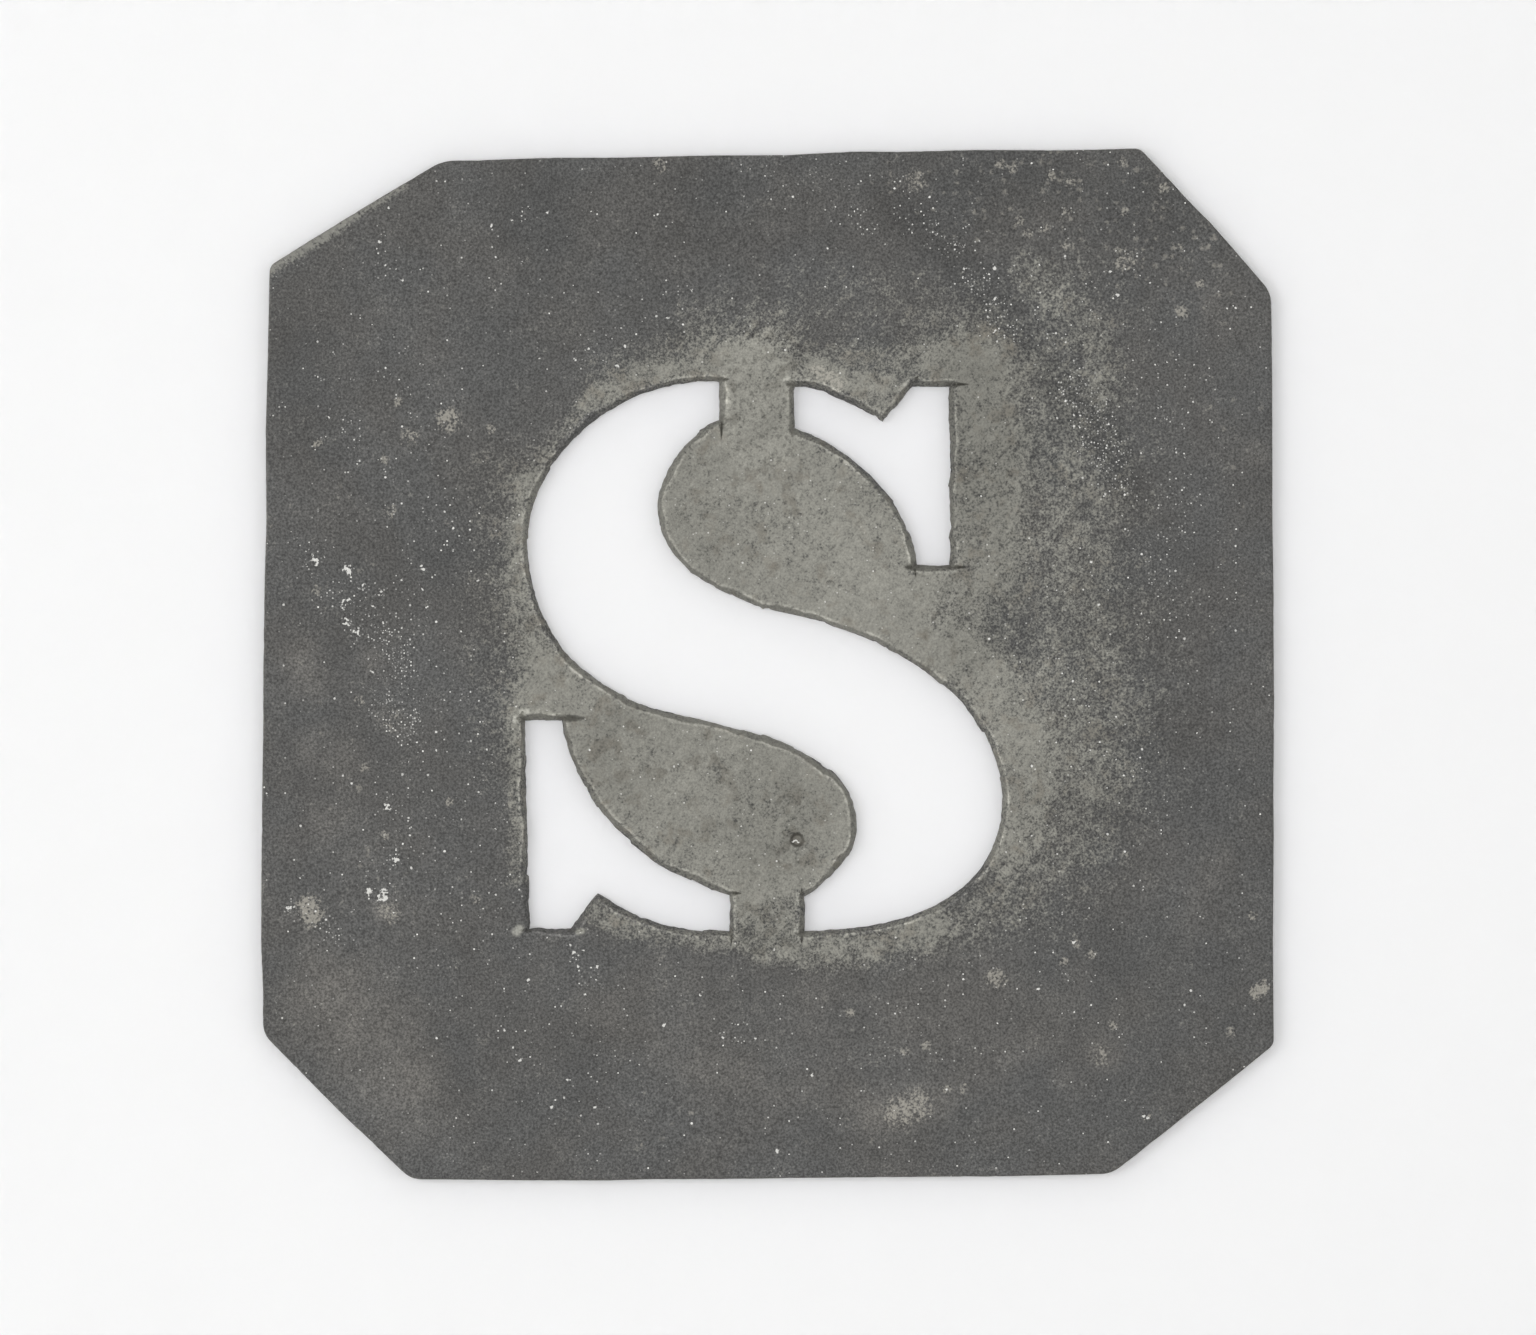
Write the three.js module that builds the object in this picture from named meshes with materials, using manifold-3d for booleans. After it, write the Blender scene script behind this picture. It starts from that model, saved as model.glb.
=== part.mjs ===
// A metal letter stencil: one flat sheet of zinc with clipped corners, cut through by hand with a capital S.
// Three openings make the letter. Two ties hold its counters to the sheet, so the whole stencil is one piece.
// Millimetres, +Z up. The origin is at the middle of the underside, and the letter stands upright along +Y.
import * as THREE from 'three';
import { mergeVertices } from 'three/addons/utils/BufferGeometryUtils.js';
import Module from 'manifold-3d';

const wasm = await Module();
wasm.setup();

// Sheet
const SHEET_WIDTH = 101.2;
const SHEET_HEIGHT = 103.2;
const SHEET_THICKNESS = 1.0;
const EDGE_BREAK = 0.12; // worn corner along the snipped edges, above and below

// Out of square: how far each snipped side runs off from one end to the other
const LEFT_LEAN = 0.8; // the left side comes in at its top
const RIGHT_LEAN = 0.3; // the right side comes in at its top
const TOP_FALL = 1.3; // the top side drops at its left end
const BOTTOM_RISE = 0.6; // the bottom side climbs at its right end

// Clipped corners: the run along the top or bottom side, and the fall or climb along the upright side
const UPPER_LEFT_RUN = 17.2;
const UPPER_LEFT_FALL = 10.5;
const UPPER_RIGHT_RUN = 13.1;
const UPPER_RIGHT_FALL = 14.4;
const LOWER_RIGHT_RUN = 16.3;
const LOWER_RIGHT_CLIMB = 12.9;
const LOWER_LEFT_RUN = 14.8;
const LOWER_LEFT_CLIMB = 14.6;

// How far a worn corner's rounding reaches along each of its sides
const BLUNT_CORNER = 1.2;
const CRISP_CORNER = 0.6;

// Letter: overall size, and its centre from the sheet's centre
const LETTER_WIDTH = 47.5;
const LETTER_HEIGHT = 55.0;
const LETTER_SHIFT_X = -0.3;
const LETTER_SHIFT_Y = 0.75;

// Bowls and counters: widths of the stroke, and where each curve is widest, from the letter's top or bottom
const UPPER_BOWL_STROKE = 12.95;
const LOWER_BOWL_STROKE = 14.6;
const UPPER_BOWL_DROP = 15.75;
const LOWER_BOWL_RISE = 13.0;
const UPPER_COUNTER_DROP = 12.6;
const LOWER_COUNTER_RISE = 10.6;

// Spine: the slanting middle of the stroke. Its edges bend over at points staggered along it.
const SPINE_STROKE = 12.3;
const SPINE_STAGGER = 9.0;
const SPINE_SLOPE = -12.8; // degrees from +X
const SPINE_CENTRE_X = -2.3;
const SPINE_CENTRE_Y = -1.0;

// Ties: the two bridges of metal across the letter's thin strokes
const TIE_WIDTH = 7.5;
const UPPER_TIE_X = -0.83;
const LOWER_TIE_X = 0.15;
const UPPER_BOWL_HAIRLINE = 3.85; // height of the opening where the bowl ends at the tie
const LOWER_BOWL_HAIRLINE = 3.45;
const UPPER_SERIF_HAIRLINE = 4.15; // height of the opening where the serif starts at the tie
const LOWER_SERIF_HAIRLINE = 3.6;

// Upper serif, right of the upper tie
const UPPER_SERIF_INSET = 5.3; // in from the letter's right side
const UPPER_SERIF_DROP = 0.5; // below the letter's top
const UPPER_SERIF_HEIGHT = 17.85;
const UPPER_SERIF_FOOT = 3.3; // width at the lower end
const UPPER_BEAK_WIDTH = 3.7; // width of the flat top
const UPPER_NOTCH_SLANT = 3.0; // run of the notch's slanting side
const UPPER_NOTCH_DEPTH = 3.5;

// Lower serif, left of the lower tie
const LOWER_SERIF_OUTSET = 0.3; // out past the letter's left side
const LOWER_SERIF_LEAN = 0.5; // the left side comes in at its foot
const LOWER_SERIF_RISE = 0.3; // above the letter's bottom
const LOWER_SERIF_HEIGHT = 20.8;
const LOWER_SERIF_HEAD = 3.7; // width at the upper end
const LOWER_BEAK_WIDTH = 4.1; // width of the flat foot
const LOWER_NOTCH_SLANT = 2.7;
const LOWER_NOTCH_DEPTH = 3.5;

// Chisel work: the slope that the chisel leaves on the upper side of each cut, and nicks where it overran a corner
const BEVEL_WIDTH = 0.45;
const BEVEL_DEPTH = 0.65;
const NICK_HALF_WIDTH = 0.3;
const NICK_DEPTH = 0.4;
const SHORT_NICK = 0.8;
const LONG_NICK = 1.7;

// Punched dimple in the lower counter, from the letter's centre
const DIMPLE_X = 3.2;
const DIMPLE_Y = -18.35;
const DIMPLE_RADIUS = 0.65;
const DIMPLE_DEPTH = 0.25;
const DIMPLE_SIDES = 16;

// Headings, in degrees anticlockwise from +X, and how far the curves tilt from them where they end
const RIGHT = 0;
const UP = 90;
const LEFT = 180;
const DOWN = 270;
const UPPER_BOWL_TILT = 5;
const UPPER_COUNTER_TILT = 19.5;
const LOWER_COUNTER_TILT = 34.5;
const UPPER_BEAK_TILT = 33.5;
const UPPER_FOOT_TILT = 7;
const UPPER_BELLY_TILT = 20;
const LOWER_BEAK_TILT = 30;
const LOWER_HEAD_TILT = 8.5;
const LOWER_BELLY_TILT = 16.5;

// Drawing
const PULL = 0.36; // length of a bend's handles, as a share of the straight distance
const SLACK_PULL = 0.29; // the same for a flatter bend
const FULL_PULL = 0.47; // the same for a rounder bend
const CURVE_STEPS = 20;
const CORNER_STEPS = 5;
const NICK_SIDES = 4;
const CUT_OVERRUN = 1.0; // how far cutting solids reach past the sheet's faces

const zinc = new THREE.MeshStandardMaterial({ color: 0x62615e, roughness: 0.6, metalness: 0.6 });

function point(x, y) {
  return new THREE.Vector2(x, y);
}

function heading(degrees) {
  const angle = THREE.MathUtils.degToRad(degrees);
  return point(Math.cos(angle), Math.sin(angle));
}

function headingFrom(from, to) {
  return THREE.MathUtils.radToDeg(to.clone().sub(from).angle());
}

// Adds a smooth bend that leaves the path's end and arrives at a point along two headings, in degrees from +X.
function bend(path, leaving, to, arriving, pullOut = PULL, pullIn = PULL) {
  const from = path.currentPoint.clone();
  const distance = from.distanceTo(to);
  const out = heading(leaving).multiplyScalar(pullOut * distance).add(from);
  const back = heading(arriving).multiplyScalar(-pullIn * distance).add(to);
  path.bezierCurveTo(out.x, out.y, back.x, back.y, to.x, to.y);
}

// A closed shape of straight sides whose corners are rounded over the given reach.
function roundedPolygon(corners) {
  const shape = new THREE.Shape();
  corners.forEach(({ at, reach }, i) => {
    const before = corners.at(i - 1).at;
    const after = corners[(i + 1) % corners.length].at;
    const enter = before.clone().sub(at).setLength(reach).add(at);
    const leave = after.clone().sub(at).setLength(reach).add(at);
    if (i === 0) shape.moveTo(enter.x, enter.y);
    else shape.lineTo(enter.x, enter.y);
    shape.quadraticCurveTo(at.x, at.y, leave.x, leave.y);
  });
  shape.closePath();
  return shape;
}

// The sheet's outline, anticlockwise from the upper left corner.
function sheetOutline() {
  const right = SHEET_WIDTH / 2;
  const top = SHEET_HEIGHT / 2;
  const left = -right;
  const bottom = -top;
  const leftTop = left + LEFT_LEAN;
  const rightTop = right - RIGHT_LEAN;
  const topLeft = top - TOP_FALL;
  const bottomRight = bottom + BOTTOM_RISE;
  return roundedPolygon([
    { at: point(leftTop + UPPER_LEFT_RUN, topLeft), reach: BLUNT_CORNER },
    { at: point(leftTop, topLeft - UPPER_LEFT_FALL), reach: CRISP_CORNER },
    { at: point(left, bottom + LOWER_LEFT_CLIMB), reach: BLUNT_CORNER },
    { at: point(left + LOWER_LEFT_RUN, bottom), reach: BLUNT_CORNER },
    { at: point(right - LOWER_RIGHT_RUN, bottomRight), reach: BLUNT_CORNER },
    { at: point(right, bottomRight + LOWER_RIGHT_CLIMB), reach: CRISP_CORNER },
    { at: point(rightTop, top - UPPER_RIGHT_FALL), reach: BLUNT_CORNER },
    { at: point(rightTop - UPPER_RIGHT_RUN, top), reach: CRISP_CORNER },
  ]);
}

// Edges of the letter that its openings share
const letterRight = LETTER_WIDTH / 2;
const letterTop = LETTER_HEIGHT / 2;
const letterLeft = -letterRight;
const letterBottom = -letterTop;
const upperTieLeft = UPPER_TIE_X - TIE_WIDTH / 2;
const upperTieRight = UPPER_TIE_X + TIE_WIDTH / 2;
const lowerTieLeft = LOWER_TIE_X - TIE_WIDTH / 2;
const lowerTieRight = LOWER_TIE_X + TIE_WIDTH / 2;

// Each opening is drawn about the letter's centre. Its nicks are the chisel's overruns: a corner, the way it ran
// on in degrees from +X, and how far.

// The bowls and the spine between them, from the upper tie anticlockwise.
function strokeOpening() {
  const along = heading(SPINE_SLOPE);
  const across = heading(SPINE_SLOPE + UP);
  const centre = point(SPINE_CENTRE_X, SPINE_CENTRE_Y);
  const toEdge = across.multiplyScalar(SPINE_STROKE / 2).add(along.multiplyScalar(SPINE_STAGGER / 2));
  const spineUpper = centre.clone().add(toEdge);
  const spineLower = centre.clone().sub(toEdge);
  const upperBowl = point(letterLeft, letterTop - UPPER_BOWL_DROP);
  const upperCounter = point(letterLeft + UPPER_BOWL_STROKE, letterTop - UPPER_COUNTER_DROP);
  const lowerBowl = point(letterRight, letterBottom + LOWER_BOWL_RISE);
  const lowerCounter = point(letterRight - LOWER_BOWL_STROKE, letterBottom + LOWER_COUNTER_RISE);
  const tieTop = point(upperTieLeft, letterTop);
  const tieUnder = point(upperTieLeft, letterTop - UPPER_BOWL_HAIRLINE);
  const tieFoot = point(lowerTieRight, letterBottom);
  const tieOver = point(lowerTieRight, letterBottom + LOWER_BOWL_HAIRLINE);
  const shape = new THREE.Shape();
  shape.moveTo(tieTop.x, tieTop.y);
  bend(shape, LEFT - UPPER_BOWL_TILT, upperBowl, DOWN);
  bend(shape, DOWN, spineLower, SPINE_SLOPE, FULL_PULL, PULL);
  bend(shape, SPINE_SLOPE, lowerCounter, DOWN);
  bend(shape, DOWN, tieOver, LEFT + LOWER_COUNTER_TILT);
  shape.lineTo(tieFoot.x, tieFoot.y);
  bend(shape, RIGHT, lowerBowl, UP, SLACK_PULL, FULL_PULL);
  bend(shape, UP, spineUpper, LEFT + SPINE_SLOPE);
  bend(shape, LEFT + SPINE_SLOPE, upperCounter, UP);
  bend(shape, UP, tieUnder, RIGHT + UPPER_COUNTER_TILT, SLACK_PULL, SLACK_PULL);
  shape.closePath();
  const nicks = [
    { at: tieTop, way: RIGHT, length: SHORT_NICK },
    { at: tieUnder, way: DOWN, length: LONG_NICK },
    { at: tieOver, way: UP, length: SHORT_NICK },
    { at: tieFoot, way: DOWN, length: SHORT_NICK },
  ];
  return { shape, nicks };
}

// The upper serif with its beak, from the upper tie clockwise.
function upperSerifOpening() {
  const top = letterTop - UPPER_SERIF_DROP;
  const right = letterRight - UPPER_SERIF_INSET;
  const foot = top - UPPER_SERIF_HEIGHT;
  const beak = point(right - UPPER_BEAK_WIDTH, top);
  const notch = point(beak.x - UPPER_NOTCH_SLANT, top - UPPER_NOTCH_DEPTH);
  const tieTop = point(upperTieRight, top);
  const tieUnder = point(upperTieRight, top - UPPER_SERIF_HAIRLINE);
  const footLeft = point(right - UPPER_SERIF_FOOT, foot);
  const shape = new THREE.Shape();
  shape.moveTo(tieTop.x, tieTop.y);
  bend(shape, RIGHT, notch, RIGHT - UPPER_BEAK_TILT, SLACK_PULL, SLACK_PULL);
  shape.lineTo(beak.x, beak.y);
  shape.lineTo(right, top);
  shape.lineTo(right, foot);
  shape.lineTo(footLeft.x, footLeft.y);
  bend(shape, UP + UPPER_FOOT_TILT, tieUnder, LEFT - UPPER_BELLY_TILT);
  shape.closePath();
  const nicks = [
    { at: tieTop, way: UP, length: SHORT_NICK },
    { at: beak, way: headingFrom(notch, beak), length: SHORT_NICK },
    { at: point(right, top), way: RIGHT, length: LONG_NICK },
    { at: point(right, foot), way: RIGHT, length: LONG_NICK },
    { at: footLeft, way: LEFT, length: SHORT_NICK },
    { at: footLeft, way: DOWN + UPPER_FOOT_TILT, length: SHORT_NICK },
  ];
  return { shape, nicks };
}

// The lower serif with its beak, from the lower tie clockwise.
function lowerSerifOpening() {
  const left = letterLeft - LOWER_SERIF_OUTSET;
  const foot = letterBottom + LOWER_SERIF_RISE;
  const head = foot + LOWER_SERIF_HEIGHT;
  const footLeft = point(left + LOWER_SERIF_LEAN, foot);
  const beak = point(footLeft.x + LOWER_BEAK_WIDTH, foot);
  const notch = point(beak.x + LOWER_NOTCH_SLANT, foot + LOWER_NOTCH_DEPTH);
  const headLeft = point(left, head);
  const headRight = point(left + LOWER_SERIF_HEAD, head);
  const tieFoot = point(lowerTieLeft, letterBottom);
  const tieOver = point(lowerTieLeft, letterBottom + LOWER_SERIF_HAIRLINE);
  const shape = new THREE.Shape();
  shape.moveTo(tieFoot.x, tieFoot.y);
  bend(shape, LEFT, notch, LEFT - LOWER_BEAK_TILT, FULL_PULL, FULL_PULL);
  shape.lineTo(beak.x, beak.y);
  shape.lineTo(footLeft.x, footLeft.y);
  shape.lineTo(headLeft.x, headLeft.y);
  shape.lineTo(headRight.x, headRight.y);
  bend(shape, DOWN + LOWER_HEAD_TILT, tieOver, RIGHT - LOWER_BELLY_TILT);
  shape.closePath();
  const nicks = [
    { at: headRight, way: RIGHT, length: LONG_NICK },
    { at: headLeft, way: UP, length: SHORT_NICK },
    { at: footLeft, way: LEFT, length: SHORT_NICK },
    { at: beak, way: RIGHT, length: SHORT_NICK },
    { at: tieOver, way: RIGHT, length: SHORT_NICK },
    { at: tieFoot, way: DOWN, length: SHORT_NICK },
  ];
  return { shape, nicks };
}

// A closed geometry as a solid that can be cut.
function solidOf(geometry) {
  geometry.deleteAttribute('normal');
  geometry.deleteAttribute('uv');
  const merged = mergeVertices(geometry);
  return new wasm.Manifold(new wasm.Mesh({
    numProp: 3,
    vertProperties: merged.attributes.position.array,
    triVerts: new Uint32Array(merged.index.array),
  }));
}

function geometryOf(solid) {
  const { vertProperties, triVerts } = solid.getMesh();
  const geometry = new THREE.BufferGeometry();
  geometry.setAttribute('position', new THREE.BufferAttribute(vertProperties, 3));
  geometry.setIndex(new THREE.BufferAttribute(triVerts, 1));
  const faceted = geometry.toNonIndexed();
  faceted.computeVertexNormals();
  return faceted;
}

// The bare sheet, with both edges of its outline broken.
function blankSheet() {
  const geometry = new THREE.ExtrudeGeometry(sheetOutline(), {
    depth: SHEET_THICKNESS - 2 * EDGE_BREAK,
    bevelThickness: EDGE_BREAK,
    bevelSize: EDGE_BREAK,
    bevelOffset: -EDGE_BREAK,
    bevelSegments: 1,
    curveSegments: CORNER_STEPS,
  });
  return solidOf(geometry.translate(0, 0, EDGE_BREAK));
}

// The straight cut right through the sheet.
function throughCut(shape) {
  const geometry = new THREE.ExtrudeGeometry(shape, {
    depth: SHEET_THICKNESS + 2 * CUT_OVERRUN,
    bevelEnabled: false,
    curveSegments: CURVE_STEPS,
  });
  return solidOf(geometry.translate(LETTER_SHIFT_X, LETTER_SHIFT_Y, -CUT_OVERRUN));
}

// The chisel's slope round a cut: it widens from the cut itself up to the sheet's upper face.
function bevelCut(shape) {
  const geometry = new THREE.ExtrudeGeometry(shape, {
    depth: CUT_OVERRUN,
    bevelThickness: BEVEL_DEPTH,
    bevelSize: BEVEL_WIDTH,
    bevelSegments: 1,
    curveSegments: CURVE_STEPS,
  });
  return solidOf(geometry.translate(LETTER_SHIFT_X, LETTER_SHIFT_Y, SHEET_THICKNESS));
}

// A nick is a four-sided cone lying in the upper face with one edge down. It starts at the corner of the cut and
// runs out to a point that lies past the slope by the nick's length.
function nickCut({ at, way, length }) {
  const reach = length + BEVEL_WIDTH;
  const geometry = new THREE.ConeGeometry(NICK_HALF_WIDTH, reach, NICK_SIDES);
  geometry.scale(1, 1, NICK_DEPTH / NICK_HALF_WIDTH);
  geometry.rotateZ(-Math.PI / 2);
  geometry.translate(reach / 2, 0, 0);
  geometry.rotateZ(THREE.MathUtils.degToRad(way));
  geometry.translate(at.x + LETTER_SHIFT_X, at.y + LETTER_SHIFT_Y, SHEET_THICKNESS);
  return solidOf(geometry);
}

// The dimple is a blunt cone driven into the upper face.
function dimpleCut() {
  const geometry = new THREE.ConeGeometry(2 * DIMPLE_RADIUS, 2 * DIMPLE_DEPTH, DIMPLE_SIDES);
  geometry.rotateX(-Math.PI / 2);
  geometry.translate(DIMPLE_X + LETTER_SHIFT_X, DIMPLE_Y + LETTER_SHIFT_Y, SHEET_THICKNESS);
  return solidOf(geometry);
}

function stencilPlate() {
  let sheet = blankSheet();
  for (const { shape, nicks } of [strokeOpening(), upperSerifOpening(), lowerSerifOpening()]) {
    sheet = sheet.subtract(throughCut(shape)).subtract(bevelCut(shape));
    for (const nick of nicks) sheet = sheet.subtract(nickCut(nick));
  }
  const mesh = new THREE.Mesh(geometryOf(sheet.subtract(dimpleCut())), zinc);
  mesh.name = 'stencil_plate';
  return mesh;
}

const stencil = new THREE.Group();
stencil.name = 'letter_stencil';
stencil.add(stencilPlate());

export default stencil;
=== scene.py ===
# A hand-cut zinc letter stencil on a pale floor, seen straight from above.
# One sheet with clipped corners, cut through with a capital S by chisel and rubbed bright round the letter.
# Metres, +Z up. The sheet lies on the floor with its upper face looking at the camera.
import math
from typing import NamedTuple

import bpy
import numpy as np
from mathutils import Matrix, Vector
from mathutils.geometry import delaunay_2d_cdt


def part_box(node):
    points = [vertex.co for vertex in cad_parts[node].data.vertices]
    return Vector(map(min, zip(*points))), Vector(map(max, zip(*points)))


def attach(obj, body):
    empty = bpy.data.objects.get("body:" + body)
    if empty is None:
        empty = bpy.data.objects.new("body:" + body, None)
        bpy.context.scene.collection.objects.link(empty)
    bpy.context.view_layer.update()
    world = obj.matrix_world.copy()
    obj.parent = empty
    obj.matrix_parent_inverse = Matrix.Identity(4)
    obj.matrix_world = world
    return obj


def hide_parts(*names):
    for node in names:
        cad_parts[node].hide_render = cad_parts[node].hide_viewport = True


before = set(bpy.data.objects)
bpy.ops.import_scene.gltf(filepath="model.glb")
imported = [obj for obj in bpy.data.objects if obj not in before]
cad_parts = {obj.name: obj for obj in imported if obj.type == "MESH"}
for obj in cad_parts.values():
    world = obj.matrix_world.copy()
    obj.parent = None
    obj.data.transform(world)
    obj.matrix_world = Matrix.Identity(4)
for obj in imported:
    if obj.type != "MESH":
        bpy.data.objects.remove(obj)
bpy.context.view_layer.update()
rng = np.random.default_rng(41)
MM = 0.001

# Sheet, from the frame
sheet_low, sheet_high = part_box("stencil_plate")
SHEET_RIGHT = sheet_high.x
SHEET_TOP = sheet_high.y
SHEET_LEFT = sheet_low.x
SHEET_BOTTOM = sheet_low.y
THICKNESS = sheet_high.z - sheet_low.z

# Out of square: how far each snipped side runs off from end to end, and how far the sides bow outwards
LEFT_LEAN = 0.8 * MM
RIGHT_LEAN = 0.3 * MM
TOP_FALL = 1.3 * MM
BOTTOM_RISE = 0.6 * MM
LEFT_BOW = 0.25 * MM
BOTTOM_BOW = 0.25 * MM
OTHER_BOW = 0.06 * MM

# Clipped corners: the run along the top or bottom side, and the fall or climb along the upright side
UPPER_LEFT_RUN = 17.2 * MM
UPPER_LEFT_FALL = 10.5 * MM
UPPER_RIGHT_RUN = 13.1 * MM
UPPER_RIGHT_FALL = 14.4 * MM
LOWER_RIGHT_RUN = 16.3 * MM
LOWER_RIGHT_CLIMB = 12.9 * MM
LOWER_LEFT_RUN = 14.8 * MM
LOWER_LEFT_CLIMB = 14.6 * MM
BLUNT_CORNER = 1.2 * MM
CRISP_CORNER = 0.6 * MM

# Letter: overall size, and its centre from the sheet's centre
LETTER_WIDTH = 47.5 * MM
LETTER_HEIGHT = 55.0 * MM
LETTER_CENTRE = np.array([-0.3, 0.75]) * MM

# Bowls and counters: widths of the stroke, and where each curve is widest, from the letter's top or bottom
UPPER_BOWL_STROKE = 12.95 * MM
LOWER_BOWL_STROKE = 14.6 * MM
UPPER_BOWL_DROP = 15.75 * MM
LOWER_BOWL_RISE = 13.0 * MM
UPPER_COUNTER_DROP = 12.6 * MM
LOWER_COUNTER_RISE = 10.6 * MM

# Spine: the slanting middle of the stroke
SPINE_STROKE = 12.3 * MM
SPINE_STAGGER = 9.0 * MM
SPINE_SLOPE = -12.8
SPINE_CENTRE = np.array([-2.3, -1.0]) * MM

# Ties: the two bridges of metal across the letter's thin strokes
TIE_WIDTH = 7.5 * MM
UPPER_TIE_X = -0.83 * MM
LOWER_TIE_X = 0.15 * MM
UPPER_BOWL_HAIRLINE = 3.85 * MM
LOWER_BOWL_HAIRLINE = 3.45 * MM
UPPER_SERIF_HAIRLINE = 4.15 * MM
LOWER_SERIF_HAIRLINE = 3.6 * MM

# Upper serif, right of the upper tie
UPPER_SERIF_INSET = 5.3 * MM
UPPER_SERIF_DROP = 0.5 * MM
UPPER_SERIF_HEIGHT = 17.85 * MM
UPPER_SERIF_FOOT = 3.3 * MM
UPPER_BEAK_WIDTH = 3.7 * MM
UPPER_NOTCH_SLANT = 3.0 * MM
UPPER_NOTCH_DEPTH = 3.5 * MM

# Lower serif, left of the lower tie
LOWER_SERIF_OUTSET = 0.3 * MM
LOWER_SERIF_LEAN = 0.5 * MM
LOWER_SERIF_RISE = 0.3 * MM
LOWER_SERIF_HEIGHT = 20.8 * MM
LOWER_SERIF_HEAD = 3.7 * MM
LOWER_BEAK_WIDTH = 4.1 * MM
LOWER_NOTCH_SLANT = 2.7 * MM
LOWER_NOTCH_DEPTH = 3.5 * MM

# Headings, in degrees anticlockwise from +X, and how far the curves tilt from them where they end
RIGHT = 0
UP = 90
LEFT = 180
DOWN = 270
UPPER_BOWL_TILT = 5
UPPER_COUNTER_TILT = 19.5
LOWER_COUNTER_TILT = 34.5
UPPER_BEAK_TILT = 33.5
UPPER_FOOT_TILT = 7
UPPER_BELLY_TILT = 20
LOWER_BEAK_TILT = 30
LOWER_HEAD_TILT = 8.5
LOWER_BELLY_TILT = 16.5
PULL = 0.36
SLACK_PULL = 0.29
FULL_PULL = 0.47

# Chisel work: the slope beside each cut, the lip that it raises, the blows, and nicks past the corners
BEVEL_WIDTH = 0.45 * MM
BEVEL_DEPTH = 0.65 * MM
LIP_HEIGHT = 0.035 * MM
BLOW_LENGTH = 2.8 * MM
BLOW_WANDER = 0.05 * MM
BLOW_SLIP = 0.07 * MM
SLIP_LENGTH = 0.1 * MM
SETTLE_LENGTH = 1.0 * MM
TEAR_LENGTH = 0.45 * MM
TEAR_SIZE = 0.026 * MM
CHIP_LIMIT = 0.06 * MM
FINE_NICK = 0.2 * MM
BROAD_NICK = 0.36 * MM
NICK_DEPTH = 0.3 * MM
NICK_SHIFT = 0.22 * MM
NICK_LEAD = 0.2
TINY_NICK = 0.5 * MM
SHORT_NICK = 0.9 * MM
LONG_NICK = 1.6 * MM
LONGEST_NICK = 2.0 * MM
BURR_HEIGHT = 0.07 * MM

# Unevenness of the slope's width and depth and of the lip: how far apart it changes, its share, its limits
WIDTH_SPACING = 1.8 * MM
WIDTH_SWAY = 0.2
WIDTH_LIMITS = (-0.4, 0.5)
DEPTH_SPACING = 2.4 * MM
DEPTH_SWAY = 0.12
DEPTH_LIMITS = (-0.3, 0.3)
LIP_SPACING = 1.6 * MM
LIP_SWAY = 0.5
LIP_LIMITS = (0.1, 2.2)

# Random lines: how far their knots stray, as a share of the spacing, and the fewest knots
KNOT_NUDGE = 0.35
FEWEST_KNOTS = 4

# Snipped outline
SNIP_LENGTH = 7.0 * MM
SNIP_WANDER = 0.07 * MM
ROUGH_LENGTH = 0.7 * MM
ROUGH_SIZE = 0.012 * MM

# Punched dimple in the lower counter, placed from the letter's centre
DIMPLE_CENTRE = LETTER_CENTRE + np.array([3.2, -18.35]) * MM
DIMPLE_RADIUS = 0.72 * MM
DIMPLE_DEPTH = 0.16 * MM
DIMPLE_WALL = 0.22 * MM
DIMPLE_RIM_RADIUS = 1.15 * DIMPLE_RADIUS
DIMPLE_RIM_WIDTH = 0.16 * MM
DIMPLE_RIM_HEIGHT = 0.03 * MM

# Ripple of the beaten sheet: its height, and each wave's radians for a millimetre of X, of Y, and at 0
RIPPLE_HEIGHT = 0.012 * MM
RIPPLES = ((0.21, 0.07, 0.0), (-0.11, 0.13, 1.0), (0.0, 0.3, 2.0))

# Grime with the painted shade of the hollows: the depth of nick that it fills, how wide it lies round the
# dimple's floor, and how thick
GRIME_AND_SHADE_DEPTH = 0.24 * MM
GRIME_AND_SHADE_WIDTH = 0.24 * MM
THICK_GRIME_AND_SHADE = 2.0
THIN_GRIME_AND_SHADE = 0.7

# Heights: what counts as the upper face, what the grime with its painted shade and the wear reach down to,
# and the hollow underneath
UPPER_SKIN = 0.15 * MM
GRIME_AND_SHADE_FROM = 0.1 * MM
WEAR_FROM = 0.3 * THICKNESS
UNDERSIDE_HOLLOW = 0.03 * MM

# Fineness of the mesh: steps along the outlines and over the faces, and gaps that loose points keep
FINE_STEP = 0.07 * MM
COARSE_STEP = 0.18 * MM
STEP_GROWTH = 0.12
MITRE_REACH = 2.4 * MM
FACE_STEP = 0.55 * MM
UNDERSIDE_STEP = 1.6 * MM
LATTICE_NUDGE = 0.12
LEAST_GAP = 0.07 * MM
RING_GAP = 0.22 * MM
LOOSE_GAP = 0.3 * MM
UNDERSIDE_GAP = 0.5 * MM
BESIDE_CUT = (0.42 * MM, 0.7 * MM, 1.1 * MM)
DRAWN_STEPS = 400
SHARP_ANGLE = 50
PAIRS_AT_ONCE = 10_000_000
TINY = 1e-9

# Loose points round a mark: the first ring's radius, then the reach, the rings and the points in each ring
FIRST_RING = 0.08 * MM
DIMPLE_RINGS = (1.1 * MM, 11, 28)
SPOT_RINGS = (0.75 * MM, 6, 16)

# Loose points over a nick: where they start, how far they run past it, how wide they lie, and their counts
NICK_START = 0.5 * MM
NICK_RUNOUT = 0.1 * MM
NICK_SPREAD = 1.15
NICK_STEPS = 16
NICK_ROWS = 9

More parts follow.
